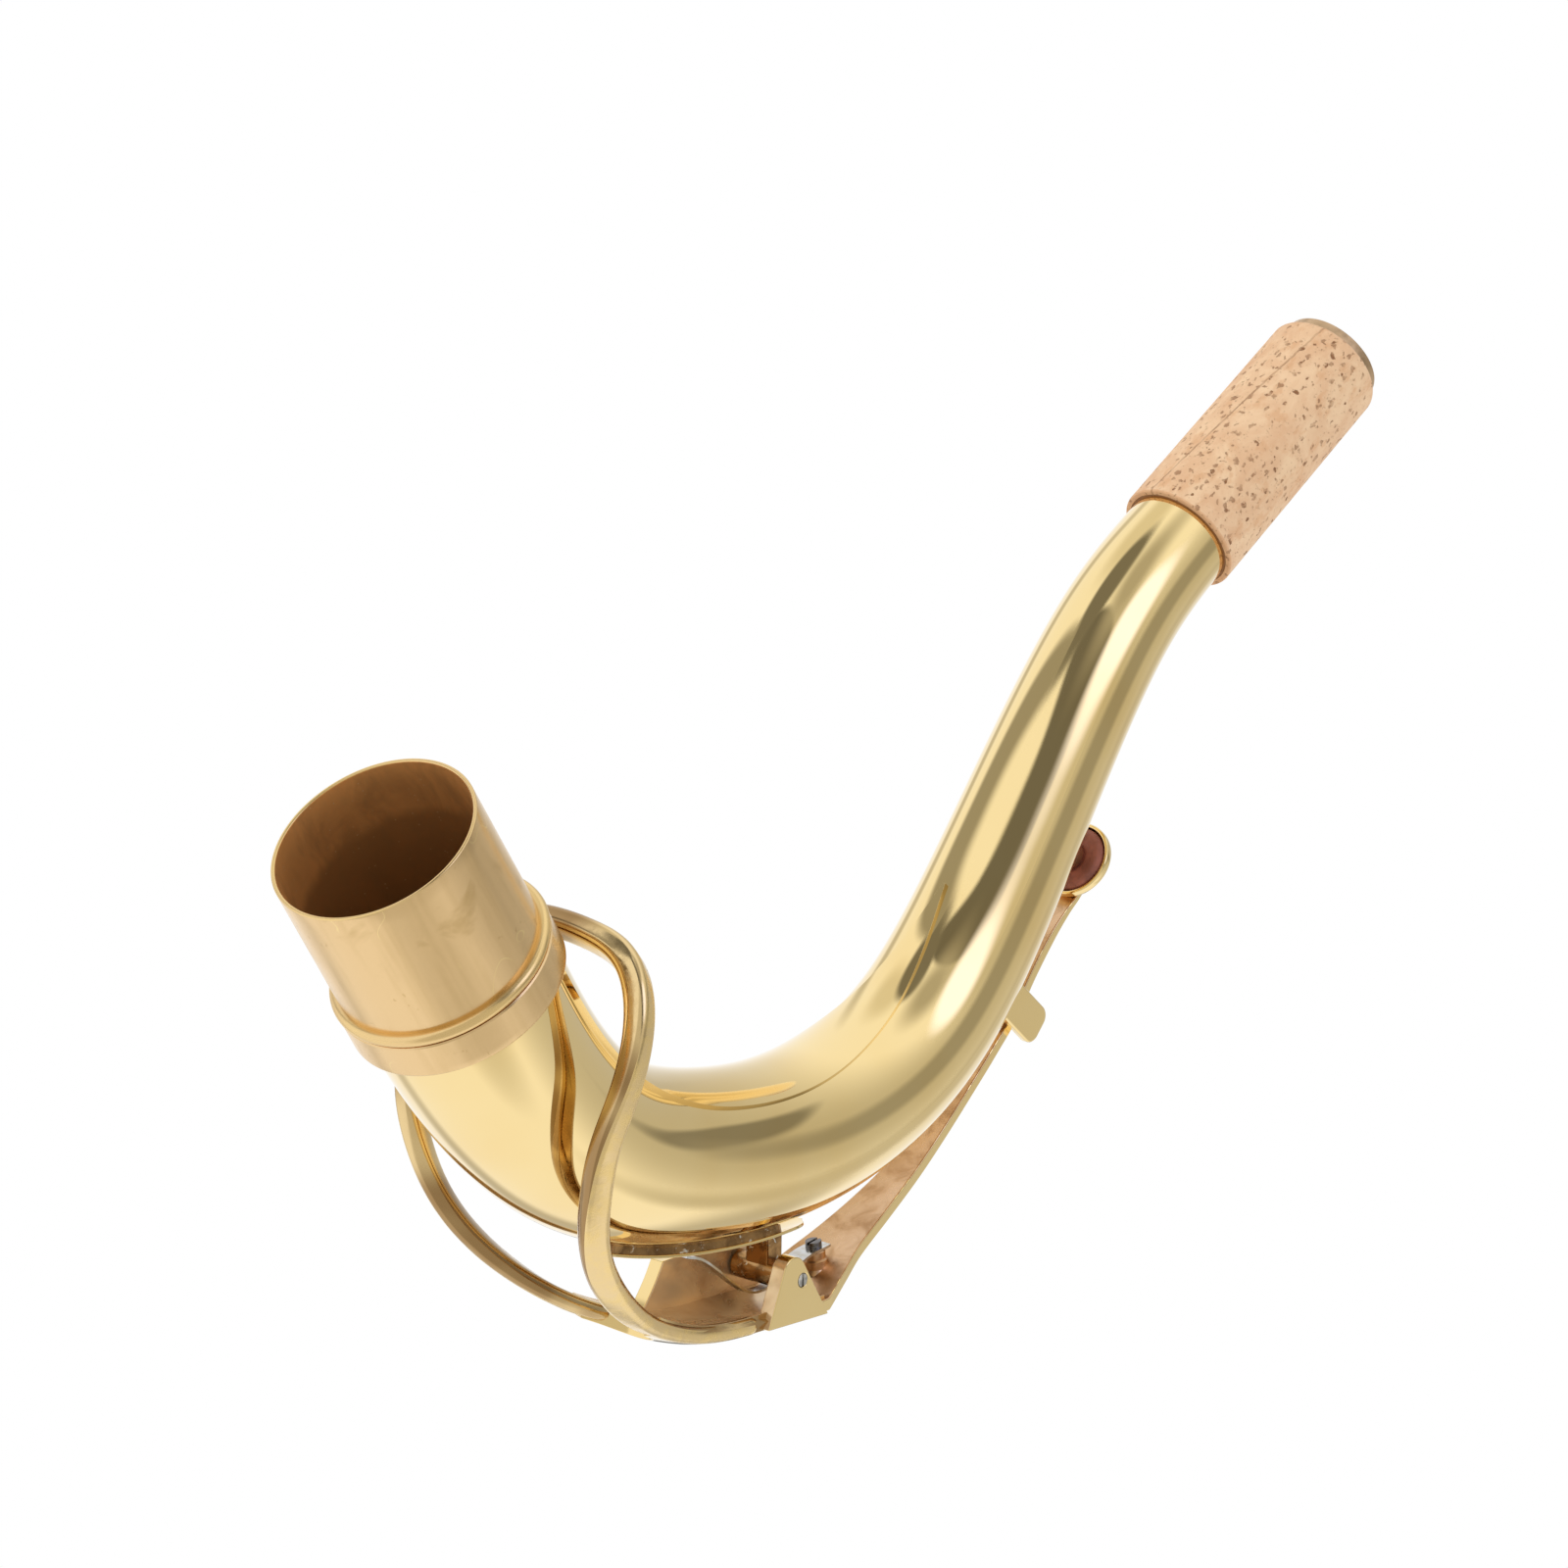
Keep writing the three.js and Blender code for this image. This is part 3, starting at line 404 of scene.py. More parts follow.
def swept(sections):
    """A solid through closed sections of as many points: each one is extruded to the next."""
    mesh = bmesh.new()
    ring, edges = chained(mesh, sections[0], closed=True)
    bmesh.ops.edgeloop_fill(mesh, edges=edges)
    for section in sections[1:]:
        made = bmesh.ops.extrude_edge_only(mesh, edges=edges)["geom"]
        fresh = {item for item in made if isinstance(item, bmesh.types.BMVert)}
        ring = [next(edge.other_vert(vert) for edge in vert.link_edges
                     if edge.other_vert(vert) in fresh) for vert in ring]
        edges = [item for item in made if isinstance(item, bmesh.types.BMEdge)
                 and item.verts[0] in fresh and item.verts[1] in fresh]
        for vert, point in zip(ring, section):
            vert.co = point
    bmesh.ops.edgeloop_fill(mesh, edges=edges)
    bmesh.ops.recalc_face_normals(mesh, faces=mesh.faces[:])
    mesh.normal_update()
    return mesh


def plate(outlines, depth):
    """A plate in the XY plane from its outline and its holes, extruded along Z."""
    mesh = bmesh.new()
    for outline in outlines:
        chained(mesh, [(x, y, 0) for x, y in outline], closed=True)
    bmesh.ops.triangle_fill(mesh, use_beauty=True, use_dissolve=True, edges=mesh.edges[:])
    made = bmesh.ops.extrude_face_region(mesh, geom=mesh.faces[:])["geom"]
    moved = [item for item in made if isinstance(item, bmesh.types.BMVert)]
    bmesh.ops.translate(mesh, vec=(0, 0, depth), verts=moved)
    bmesh.ops.recalc_face_normals(mesh, faces=mesh.faces[:])
    return mesh


def moved(mesh, matrix):
    bmesh.ops.transform(mesh, matrix=matrix, verts=mesh.verts[:])
    return mesh


def joined(first, *others):
    """Puts several shapes into one."""
    for other in others:
        spare = bpy.data.meshes.new("spare")
        other.to_mesh(spare)
        other.free()
        first.from_mesh(spare)
        bpy.data.meshes.remove(spare)
    return first


def rounded(half_wide, half_high, radius):
    """The outline of a rectangle with rounded corners."""
    reach = min(radius, 0.9 * half_wide, 0.9 * half_high)
    corners = ((1, 1, 0), (-1, 1, 90), (-1, -1, 180), (1, -1, 270))
    return [point for x, y, turn in corners
            for point in arc(x * (half_wide - reach), y * (half_high - reach), reach,
                             turn, turn + 90, CORNER_STEPS)]


def remembered(mesh):
    """Keeps where the points are now, for the finishes that read the straight neck."""
    straight = mesh.verts.layers.float_vector.new("straight")
    for vert in mesh.verts:
        vert[straight] = vert.co
    return mesh


def bent(mesh, neck):
    """Bends a shape that was turned about a straight neck, and keeps where its points were."""
    for vert in remembered(mesh).verts:
        vert.co = neck.beside(vert.co.z, vert.co.x, vert.co.y)
    mesh.normal_update()
    return mesh


def lined(mesh):
    """Gives the faces that look at the Z axis the second finish."""
    for face in mesh.faces:
        middle = face.calc_center_median()
        radial = Vector((middle.x, middle.y, 0))
        if radial.length > 0 and face.normal.dot(radial.normalized()) < -0.25:
            face.material_index = 1
    return mesh


def facing(mesh, direction_at, index, least=0.6):
    """Gives the faces that look along a direction another finish."""
    mesh.normal_update()
    for face in mesh.faces:
        if face.normal.dot(direction_at(face.calc_center_median())) > least:
            face.material_index = index
    return mesh


def strip(neck, stations, top, thickness, half_width, crown, columns):
    """A strip over the outer side of the tube, arched across its width by its crown."""
    sections = []
    for station in stations:
        half = half_width(station)
        shares = steps(-1, 1, columns)

        def row(edge):
            return [neck.above(station, edge + crown(station) * (1 - share * share), half * share)
                    for share in shares]

        sections.append(row(top(station)) + row(top(station) - thickness(station))[::-1])
    return swept(sections)


def wrapped_plate(neck, stations, centre, half_angle, under, thickness, columns):
    """A plate that hugs the tube, centred on an angle from the outer side of the bend."""
    sections = []
    for station in stations:
        half = half_angle(station)
        angles = steps(centre - half, centre + half, columns)
        low = neck.radius(station) + under
        sections.append([neck.around(station, low + thickness, a) for a in angles]
                        + [neck.around(station, low, a) for a in reversed(angles)])
    return swept(sections)


def slotted_end(radius, slot, depth):
    """The two halves of a screw's end on both sides of its slot, from z = 0 up."""
    start = math.degrees(math.asin(slot / 2 / radius))
    halves = []
    for turn in (0, 180):
        outline = arc(0, 0, radius, turn + start, turn + 180 - start, 20)
        halves.append(plate([outline], depth))
    return joined(*halves)


def smooth_path(values, per_gap):
    """Values on a smooth curve through these ones, so many to each gap."""
    last = len(values) - 1
    path = []
    for i in range(last):
        a, b, c, d = values[max(i - 1, 0)], values[i], values[i + 1], values[min(i + 2, last)]
        for t in steps(0, 1, per_gap)[:-1]:
            path.append(0.5 * (2 * b + (c - a) * t + (2 * a - 5 * b + 4 * c - d) * t * t
                               + (3 * b - a - 3 * c + d) * t * t * t))
    return path + [values[last]]


def finished(mesh, name, body, finishes, replaces=(), edge=0, sharp=35):
    """Makes the object of a shape, with its finishes, its edges and its place in the frame.

    The body is a name, or two names and the two points between which the piece would bend; such a
    piece is only left where it stands, attached to no body.
    """
    data = bpy.data.meshes.new(name)
    mesh.to_mesh(data)
    mesh.free()
    for finish in finishes:
        data.materials.append(finish_named(finish))
    data.shade_smooth()
    piece = bpy.data.objects.new(name, data)
    bpy.context.scene.collection.objects.link(piece)
    if edge:
        rounding = piece.modifiers.new("Edges", "BEVEL")
        rounding.width = edge
        rounding.segments = BEVEL_SEGMENTS
        rounding.limit_method = "ANGLE"
        rounding.angle_limit = math.radians(sharp)
        rounding.harden_normals = True
    else:
        data.set_sharp_from_angle(angle=math.radians(sharp))
    if isinstance(body, str):
        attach(piece, body)
    else:
        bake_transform(piece)
    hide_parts(*replaces)
    return piece


# Finishes

class Finish:
    """A material, with short ways to add nodes to it and to join them."""

    def __init__(self, name):
        self.material = bpy.data.materials.new(name)
        self.material.use_nodes = True
        self.tree = self.material.node_tree
        self.shader = self.tree.nodes["Principled BSDF"]

    def add(self, kind, inputs, **settings):
        node = self.tree.nodes.new("ShaderNode" + kind)
        for key, value in settings.items():
            setattr(node, key, value)
        for key, value in inputs.items():
            self.put(node.inputs[key], value)
        return node

    def put(self, socket, value):
        if isinstance(value, bpy.types.NodeSocket):
            self.tree.links.new(value, socket)
        else:
            socket.default_value = value

    def set(self, **inputs):
        """Sets sockets of the shader, with _ for a space in their names."""
        for key, value in inputs.items():
            self.put(self.shader.inputs[key.replace("_", " ").title().replace("Ior", "IOR")],
                     opaque(value) if key == "base_color" else value)

    def place(self, scale=(1, 1, 1)):
        """Object coordinates, stretched."""
        return self.mapped(self.add("TexCoord", {}).outputs["Object"], scale)

    def straight(self, scale=(1, 1, 1)):
        """The place on the neck before it was bent, z along it."""
        place = self.add("Attribute", {}, attribute_name="straight").outputs["Vector"]
        return self.mapped(place, scale)

    def mapped(self, place, scale):
        return self.add("Mapping", {"Vector": place, "Scale": scale}).outputs[0]

    def noise(self, place, scale, detail=2, roughness=0.5, warp=0, output=0):
        return self.add("TexNoise", {
            "Vector": place, "Scale": scale, "Detail": detail, "Roughness": roughness,
            "Distortion": warp}).outputs[output]

    def cells(self, place, scale):
        return self.add("TexVoronoi", {"Vector": place, "Scale": scale})

    def warped(self, place, scale, amount):
        """A place shifted here and there, to make what is drawn on it ragged."""
        shift = self.noise(place, scale, output="Color")
        return self.vector("ADD", place, self.vector("MULTIPLY", shift, (amount, amount, amount)))

    def spots(self, place, scale, size, seldom):
        """Scattered spots of all sizes up to one. The higher seldom is, the fewer."""
        cells = self.cells(place, scale)
        chance = self.add("SeparateColor", {"Color": cells.outputs["Color"]}).outputs[0]
        reach = self.most(self.level(chance, seldom, 1, 0, size), LEAST_SPOT)
        return self.level(self.sum("DIVIDE", cells.outputs["Distance"], reach), 0.7, 1.1, 1, 0)

    def parts(self, place):
        """The x, y and z of a place."""
        return self.add("SeparateXYZ", {"Vector": place}).outputs

    def level(self, value, low, high, to_low=0, to_high=1):
        """Spreads values from low to high over another range."""
        return self.add("MapRange", {
            "Value": value, "From Min": low, "From Max": high, "To Min": to_low, "To Max": to_high},
            interpolation_type="SMOOTHSTEP").outputs[0]

    def spread(self, noise, low, high):
        """Spreads the values that a noise mostly has over another range."""
        return self.level(noise, 0.3, 0.7, low, high)

    def sum(self, operation, first, second=0):
        return self.add("Math", {0: first, 1: second}, operation=operation).outputs[0]

    def times(self, first, second):
        return self.sum("MULTIPLY", first, second)

    def plus(self, first, second):
        return self.sum("ADD", first, second)

    def less(self, first, second):
        return self.sum("SUBTRACT", first, second)

    def most(self, first, *others):
        for other in others:
            first = self.sum("MAXIMUM", first, other)
        return first

    def mix(self, share, first, second):
        """A blend of two colours."""
        node = self.add("Mix", {}, data_type="RGBA")
        for socket, value in zip((node.inputs[0], node.inputs[6], node.inputs[7]),
                                 (share, opaque(first), opaque(second))):
            self.put(socket, value)
        return node.outputs[2]

    def vector(self, operation, first, second=(0, 0, 0), output="Vector"):
        node = self.add("VectorMath", {0: first, 1: second}, operation=operation)
        return node.outputs[output]

    def bump(self, height, distance, normal=None):
        inputs = {"Height": height, "Distance": distance, "Strength": 1}
        if normal:
            inputs["Normal"] = normal
        return self.add("Bump", inputs).outputs[0]


def opaque(value):
    """A colour with its alpha, where it is a plain colour."""
    return value if isinstance(value, bpy.types.NodeSocket) else (*value, 1)


def shaded(tone, share):
    """A colour at a share of its strength."""
    return tuple(part * share for part in tone)


def hairlines(finish, place, scale, width, seldom):
    """Thin winding lines here and there, for scratches."""
    near = finish.sum("ABSOLUTE", finish.less(finish.noise(place, scale, 1.5), 0.5))
    where = finish.level(finish.noise(place, scale * 0.45, 1), seldom, seldom + 0.04)
    return finish.times(finish.level(near, 0, width, 1, 0), where)


def polished(name, ground, deep, place, along, rough=(0.02, 0.05), coat=0.6):
    """Polished brass under clear lacquer, with soft waves and fine marks along the polish."""
    finish = Finish(name)
    tone = finish.noise(place(finish), 38, 3, 0.55)
    marks = finish.noise(place(finish, along), 1, 4, 0.6)
    waves = finish.bump(finish.noise(place(finish), 55, 1), 0.035 * MM)
    finish.set(
        metallic=1,
        base_color=finish.mix(finish.level(tone, 0.38, 0.72), ground, deep),
        roughness=finish.level(marks, 0.3, 0.75, *rough),
        coat_weight=coat,
        coat_roughness=0.03,
        normal=finish.bump(marks, 0.0009 * MM, waves))
    return finish.material


def tube_brass(name, colours):
    return polished(name, colours.lacquer, colours.lacquer_deep, Finish.straight, (700, 700, 25))


def key_brass(name, colours):
    return polished(name, colours.lacquer, colours.lacquer_deep, Finish.place, (900, 260, 900),
                    (0.05, 0.12))


def bead_brass(name, colours):
    return polished(name, colours.bead, colours.lacquer_deep, Finish.straight, (30, 30, 3000),
                    (0.22, 0.36), 0)


def turned_brass(name, colours):
    """Turned brass: fine rings, cloudy stains and a few scratches."""
    finish = Finish(name)
    rings = finish.noise(finish.straight((25, 25, 4200)), 1, 3, 0.7)
    streaks = finish.level(finish.noise(finish.straight((420, 420, 30)), 1, 3, 0.6), 0.42, 0.75)
    clouds = finish.noise(finish.straight(), 130, 4, 0.6, 0.4)
    stains = finish.level(clouds, 0.56, 0.74)
    specks = finish.level(finish.noise(finish.straight((1, 1, 0.8)), 900, 2), 0.69, 0.76)
    scratches = hairlines(finish, finish.straight(), 110, 0.005, 0.5)
    worn = finish.most(finish.times(stains, 0.7), finish.times(specks, 0.6),
                       finish.times(streaks, 0.35))
    ground = finish.mix(worn, colours.satin, colours.satin_stain)
    finish.set(
        metallic=1,
        base_color=finish.mix(finish.times(scratches, 0.8), ground, colours.lacquer),
        roughness=finish.level(clouds, 0.35, 0.7, 0.19, 0.27),
        anisotropic=0.3,
        normal=finish.bump(rings, 0.0006 * MM, finish.bump(scratches, 0.006 * MM)))
    return finish.material


def inside_brass(name, ground, dusty, colours):
    """The inside of the tenon or of the tube: brown, dull and dusty, and darker deep inside."""
    finish = Finish(name)
    clouds = finish.noise(finish.straight((1, 1, 0.5)), 160, 4, 0.6, 0.6)
    dust = finish.spots(finish.warped(finish.straight(), 3000, 0.2 * MM), 1500, 0.2, 1 - dusty)
    dark_from, dark_to, raggedness = 8.5 * MM, 11 * MM, 2.5 * MM
    depth = finish.plus(finish.parts(finish.straight())[2], finish.times(clouds, raggedness))
    tone = finish.mix(finish.level(clouds, 0.4, 0.68), ground, shaded(ground, 0.7))
    deeper = finish.mix(finish.level(depth, dark_from, dark_to), tone, shaded(ground, 0.6))
    finish.set(
        metallic=0.6,
        base_color=finish.mix(finish.times(dust, 0.5), deeper, colours.satin),
        roughness=finish.spread(clouds, 0.3, 0.48),
        normal=finish.bump(finish.noise(finish.straight(), 1900, 3), 0.006 * MM))
    return finish.material


def mouth_brass(name, colours):
    return inside_brass(name, colours.mouth, 0.5, colours)


def bore_brass(name, colours):
    return inside_brass(name, colours.bore, 0.25, colours)


def clouded(name, ground, dark, rough, scale, waves, metallic=1.0):
    """Brass in two tones with a grain."""
    finish = Finish(name)
    clouds = finish.noise(finish.place(), scale, 4, 0.6, 0.5)
    grain = finish.noise(finish.place(), 2400, 3, 0.6)
    finish.set(
        metallic=metallic,
        base_color=finish.mix(finish.level(clouds, 0.38, 0.72), ground, dark),
        roughness=finish.spread(clouds, *rough),
        normal=finish.bump(grain, 0.006 * MM, finish.bump(clouds, waves)))
    return finish.material


def cast_brass(name, colours):
    """The arm's underside: as cast, mottled and dull."""
    return clouded(name, colours.cast, colours.cast_dark, (0.26, 0.42), 260, 0.05 * MM)


def golden_brass(name, colours):
    """The web's underside: a painted shade of the brass, its patches from golden to dark brown
    standing for painted highlights and dark reflections.
    """
    return clouded(name, colours.golden, colours.golden_dark, (0.18, 0.32), 105, 0.09 * MM, 0.6)


def bar_brass(name, colours):
    """The loop's outer faces: lacquered over traces of the casting."""
    return clouded(name, colours.bar, colours.lacquer_deep, (0.14, 0.3), 420, 0.04 * MM)


def side_brass(name, colours):
    """The loop's inner faces: golden brass with brown patches of painted dark reflection."""
    finish = Finish(name)
    patches = finish.noise(finish.place(), 85, 1.5, 0.4, 0.3)
    finish.set(
        metallic=1,
        # The brown patches are a painted dark reflection
        base_color=finish.mix(finish.level(patches, 0.36, 0.62), colours.bar, colours.painted_dark_reflection),
        roughness=finish.spread(finish.noise(finish.place(), 1200, 3), 0.08, 0.2),
        normal=finish.bump(patches, 0.2 * MM))
    return finish.material


def burnt_brass(name, colours):
    """The saddle's seat, post and barrel: brown patches of painted shade from under the key, with
    traces of solder.
    """
    finish = Finish(name)
    clouds = finish.noise(finish.place(), 330, 4, 0.6, 0.6)
    traces = finish.level(finish.noise(finish.place(), 760, 3, 0.7, 0.8), 0.61, 0.66)
    # The brown is painted shade and dark reflection from under the key
    brown = finish.mix(finish.level(clouds, 0.35, 0.65), colours.saddle_shade, colours.saddle_shade_dark)
    finish.set(
        metallic=1,
        base_color=finish.mix(traces, brown, colours.solder),
        roughness=finish.spread(clouds, 0.16, 0.36),
        normal=finish.bump(clouds, 0.1 * MM, finish.bump(traces, 0.03 * MM)))
    return finish.material


def worn_metal(name, ground, dark, worn, rough, scale, grain):
    """Plain metal with a darker tint where it is worn, from one level of its clouds to another."""
    finish = Finish(name)
    clouds = finish.noise(finish.place(), scale, 4, 0.6)
    finish.set(
        metallic=1,
        base_color=finish.mix(finish.level(clouds, *worn), ground, dark),
        roughness=finish.spread(clouds, *rough),
        normal=finish.bump(finish.noise(finish.place(), *grain), 0.004 * MM))
    return finish.material


def aged_brass(name, colours):
    return worn_metal(name, colours.dull, shaded(colours.dull, 0.7), (0.45, 0.7), (0.28, 0.42),
                      300, (2600, 2))


def steel(name, ground, tint, rough):
    return worn_metal(name, ground, tint, (0.42, 0.72), rough, 520, (3400, 3))


def rod_steel(name, colours):
    return steel(name, colours.steel, shaded(colours.steel, 0.45), (0.16, 0.34))


def screw_steel(name, colours):
    return steel(name, colours.dark_steel, shaded(colours.dark_steel, 2), (0.2, 0.38))


def spring_steel(name, colours):
    return steel(name, colours.blued_steel, STRAW_TINT, (0.14, 0.24))


def cork_specks(finish):
    """Dark specks of three sizes, some of them fainter."""
    ragged = finish.warped(finish.straight((1, 1, 0.8)), 1100, 1.6 * MM)
    large = finish.spots(ragged, 560, 0.24, 0.04)
    small = finish.spots(ragged, 950, 0.4, 0.04)
    fine = finish.level(finish.noise(finish.straight(), 2300, 2, 0.6), 0.62, 0.7)
    specks = finish.most(large, finish.times(small, 0.7), finish.times(fine, 0.35))
    return finish.times(specks, finish.level(
        finish.noise(finish.straight(), 1100, 2), 0.3, 0.6, 0.45, 1))


def cork_seam(finish):
    """The winding dark line where the cork's two ends meet, fainter here and there."""
    x, y, z = finish.parts(finish.straight())
    past_tip = finish.less(z, neck_now().tip)
    line = finish.plus(finish.times(past_tip, math.radians(SEAM_LEAN) / MM),
                       math.radians(SEAM_ANGLE))
    shake = finish.times(finish.less(finish.noise(finish.straight(), 700, 2), 0.5), 0.05)
    off = finish.sum("ABSOLUTE", finish.plus(
        finish.less(finish.sum("ARCTAN2", y, x), line), shake))
    return finish.times(finish.level(off, 0.008, 0.03, 1, 0), finish.level(
        finish.noise(finish.straight(), 330, 3), 0.35, 0.6, 0.3, 0.65))


def cork_rim(finish):
    """The cork's cut end over the tube, and a painted shadow line in the gap next to the tube."""
    neck = neck_now()
    cut_from, cut_to, gap_shadow_width, fading = 0.15 * MM, 0.3 * MM, 0.18 * MM, 0.12 * MM
    past_rim = finish.less(finish.parts(finish.straight())[2], neck.bend_end)
    cut = finish.level(past_rim, cut_from, cut_to, 0.6, 0)
    flat = finish.vector("MULTIPLY", finish.straight(), (1, 1, 0))
    off_axis = finish.vector("LENGTH", flat, output="Value")
    # The dark line next to the tube is a painted gap shadow
    gap_shadow_edge = neck.radius(neck.bend_end) + gap_shadow_width
    return cut, finish.times(cut, finish.level(off_axis, gap_shadow_edge, gap_shadow_edge + fading, 1.6, 0))


def cork_bark(name, colours):
    """Sanded cork: pale and reddish patches, specks of several sizes, a seam, a cut rim and a
    painted shadow line in the gap next to the tube.
    """
    finish = Finish(name)
    patches = finish.noise(finish.straight((1, 1, 0.7)), 210, 4, 0.62, 0.8)
    reddish = finish.level(finish.noise(finish.straight((1, 1, 0.6)), 520, 3, 0.6), 0.5, 0.7)
    ground = finish.mix(finish.level(patches, 0.3, 0.72), colours.cork, colours.cork_pale)
    ground = finish.mix(finish.times(reddish, 0.6), ground, colours.cork_warm)
    # joint is the painted shadow line in the gap between the cork's rim and the tube
    cut, joint = cork_rim(finish)
    dark = finish.most(cork_specks(finish), cork_seam(finish), joint)
    finish.set(
        base_color=finish.mix(dark, finish.mix(cut, ground, colours.cork_warm), colours.cork_speck),
        roughness=finish.spread(patches, 0.62, 0.8),
        specular_ior_level=0.3,
        normal=finish.bump(finish.less(1, dark), 0.12 * MM, finish.bump(
            finish.noise(finish.straight(), 1500, 3, 0.6), 0.04 * MM)))
    return finish.material


def tanned_leather(name, colours):
    """Thin tanned leather, with a fine pebble and a faint shine."""
    finish = Finish(name)
    pebble = finish.cells(finish.place(), 5200).outputs["Distance"]
    clouds = finish.noise(finish.place(), 420, 3)
    finish.set(
        base_color=finish.mix(finish.level(clouds, 0.35, 0.7), colours.leather,
                              shaded(colours.leather, 0.6)),
        roughness=finish.level(pebble, 0.1, 0.8, 0.36, 0.5),
        normal=finish.bump(pebble, 0.02 * MM, finish.bump(clouds, 0.08 * MM)))
    return finish.material


def fibrous(name, ground, scale, depth):
    """Pressed fibres, for felt and card."""
    finish = Finish(name)
    fibres = finish.noise(finish.place((1, 3, 1)), scale, 4, 0.7, 1.5)
    finish.set(
        base_color=finish.mix(finish.spread(fibres, 0, 1), shaded(ground, 0.7), ground),
        roughness=finish.spread(fibres, 0.85, 0.97),
        normal=finish.bump(fibres, depth))
    return finish.material


def pressed_felt(name, colours):
    return fibrous(name, colours.felt, 2600, 0.06 * MM)


def pressed_card(name, colours):
    return fibrous(name, colours.card, 1500, 0.02 * MM)


FINISHES = {maker.__name__: maker for maker in (
    tube_brass, key_brass, bead_brass, turned_brass, mouth_brass, bore_brass, cast_brass,
    golden_brass, bar_brass, side_brass, burnt_brass, aged_brass, rod_steel, screw_steel,
    spring_steel, cork_bark, tanned_leather, pressed_felt, pressed_card)}


def finish_named(name):
    """The finish of this name, made the first time that a piece asks for it."""
    return bpy.data.materials.get(name) or FINISHES[name](name, bpy.context.scene.neck_colours)


# Pieces of the neck

def neck_now():
    return Neck(bpy.context.scene.neck_sizes)


class MakeTenon(bpy.types.Operator):
    """Turns the tenon, its bead and the collar"""

    bl_idname = "saxneck.tenon"
    bl_label = "Tenon, bead and collar"

    def execute(self, context):
        s, neck = context.scene.neck_sizes, neck_now()
        bore = s.tenon_radius - s.tenon_wall
        joint = neck.collar_start + s.collar_height / 2 - JOINT / 2
        lip, edge, chamfer, end_wall = 0.28 * MM, 0.26 * MM, 1.2 * MM, 0.6 * MM
        thin = s.tenon_radius - end_wall
        profile = (
            [(bore, z) for z in steps(joint, chamfer, 10)]
            + arc(thin + lip, lip, lip, 180, 270, 8)
            + arc(s.tenon_radius - edge, edge, edge, -90, 0, 6)
            + [(s.tenon_radius, z) for z in steps(edge, joint, 12)[1:]])
        sleeve = facing(lined(spun(profile, TENON_SIDES)), lambda point: Vector((0, 0, -1)), 2, 0.5)
        finished(bent(sleeve, neck), "tenon", FIXED,
                 ["turned_brass", "mouth_brass", "bead_brass"], ["tenon_sleeve"])
        centre = s.bead_radius - s.bead_half_height
        middle = s.tenon_length + s.bead_half_height
        inner = s.tenon_radius - SUNK
        profile = ([(inner, s.tenon_length)]
                   + arc(centre, middle, s.bead_half_height, -90, 90, 20)
                   + [(inner, s.tenon_length + 2 * s.bead_half_height)])
        finished(bent(spun(profile, TENON_SIDES), neck), "bead", FIXED,
                 ["bead_brass"], ["bead_ring"])
        rounding = 0.35 * MM
        foot, top = neck.collar_start - JOINT, neck.bend_start
        inner = s.tube_base_radius - SUNK
        profile = ([(inner, foot), (s.collar_radius - rounding / 2, foot)]
                   + [(s.collar_radius, z) for z in steps(neck.collar_start, top - rounding, 6)]
                   + arc(s.collar_radius - rounding, top - rounding, rounding, 0, 90, 6)[1:]
                   + [(inner, top)])
        finished(bent(spun(profile, TENON_SIDES), neck), "collar", FIXED,
                 ["turned_brass"], ["collar_band"])
        return {"FINISHED"}


class MakeTube(bpy.types.Operator):
    """Draws and bends the tapering tube"""

    bl_idname = "saxneck.tube"
    bl_label = "Tube"

    def execute(self, context):
        s, neck = context.scene.neck_sizes, neck_now()
        lip = 0.45 * MM
        start = neck.collar_start + s.collar_height / 2 + JOINT / 2
        stations = steps(start, neck.tip - lip - JOINT, 170)
        profile = ([(neck.radius(z), z) for z in stations]
                   + [(neck.radius(z) - s.tube_wall, z) for z in reversed(stations)])
        finished(bent(lined(spun(profile, TUBE_SIDES)), neck), "tube", FIXED,
                 ["tube_brass", "bore_brass"], ["neck_tube"])
        return {"FINISHED"}


class MakeBrace(bpy.types.Operator):
    """Lays the pointed brace on the inner side of the bend"""

    bl_idname = "saxneck.brace"
    bl_label = "Brace"

    def execute(self, context):
        s, neck = context.scene.neck_sizes, neck_now()
        start = neck.bend_start - SUNK
        end = neck.bend_start + JOINT + s.brace_length
        half = curve_through(BRACE_PLACES, BRACE_HALF_ANGLES)
        brace = wrapped_plate(
            neck, steps(start, end, 110), INNER_SIDE,
            lambda station: half((station - start) / s.brace_length), -SUNK,
            s.brace_thickness + SUNK, 28)
        finished(remembered(brace), "brace", FIXED, ["tube_brass"],
                 ["brace_plate"], edge=0.2 * MM)
        return {"FINISHED"}


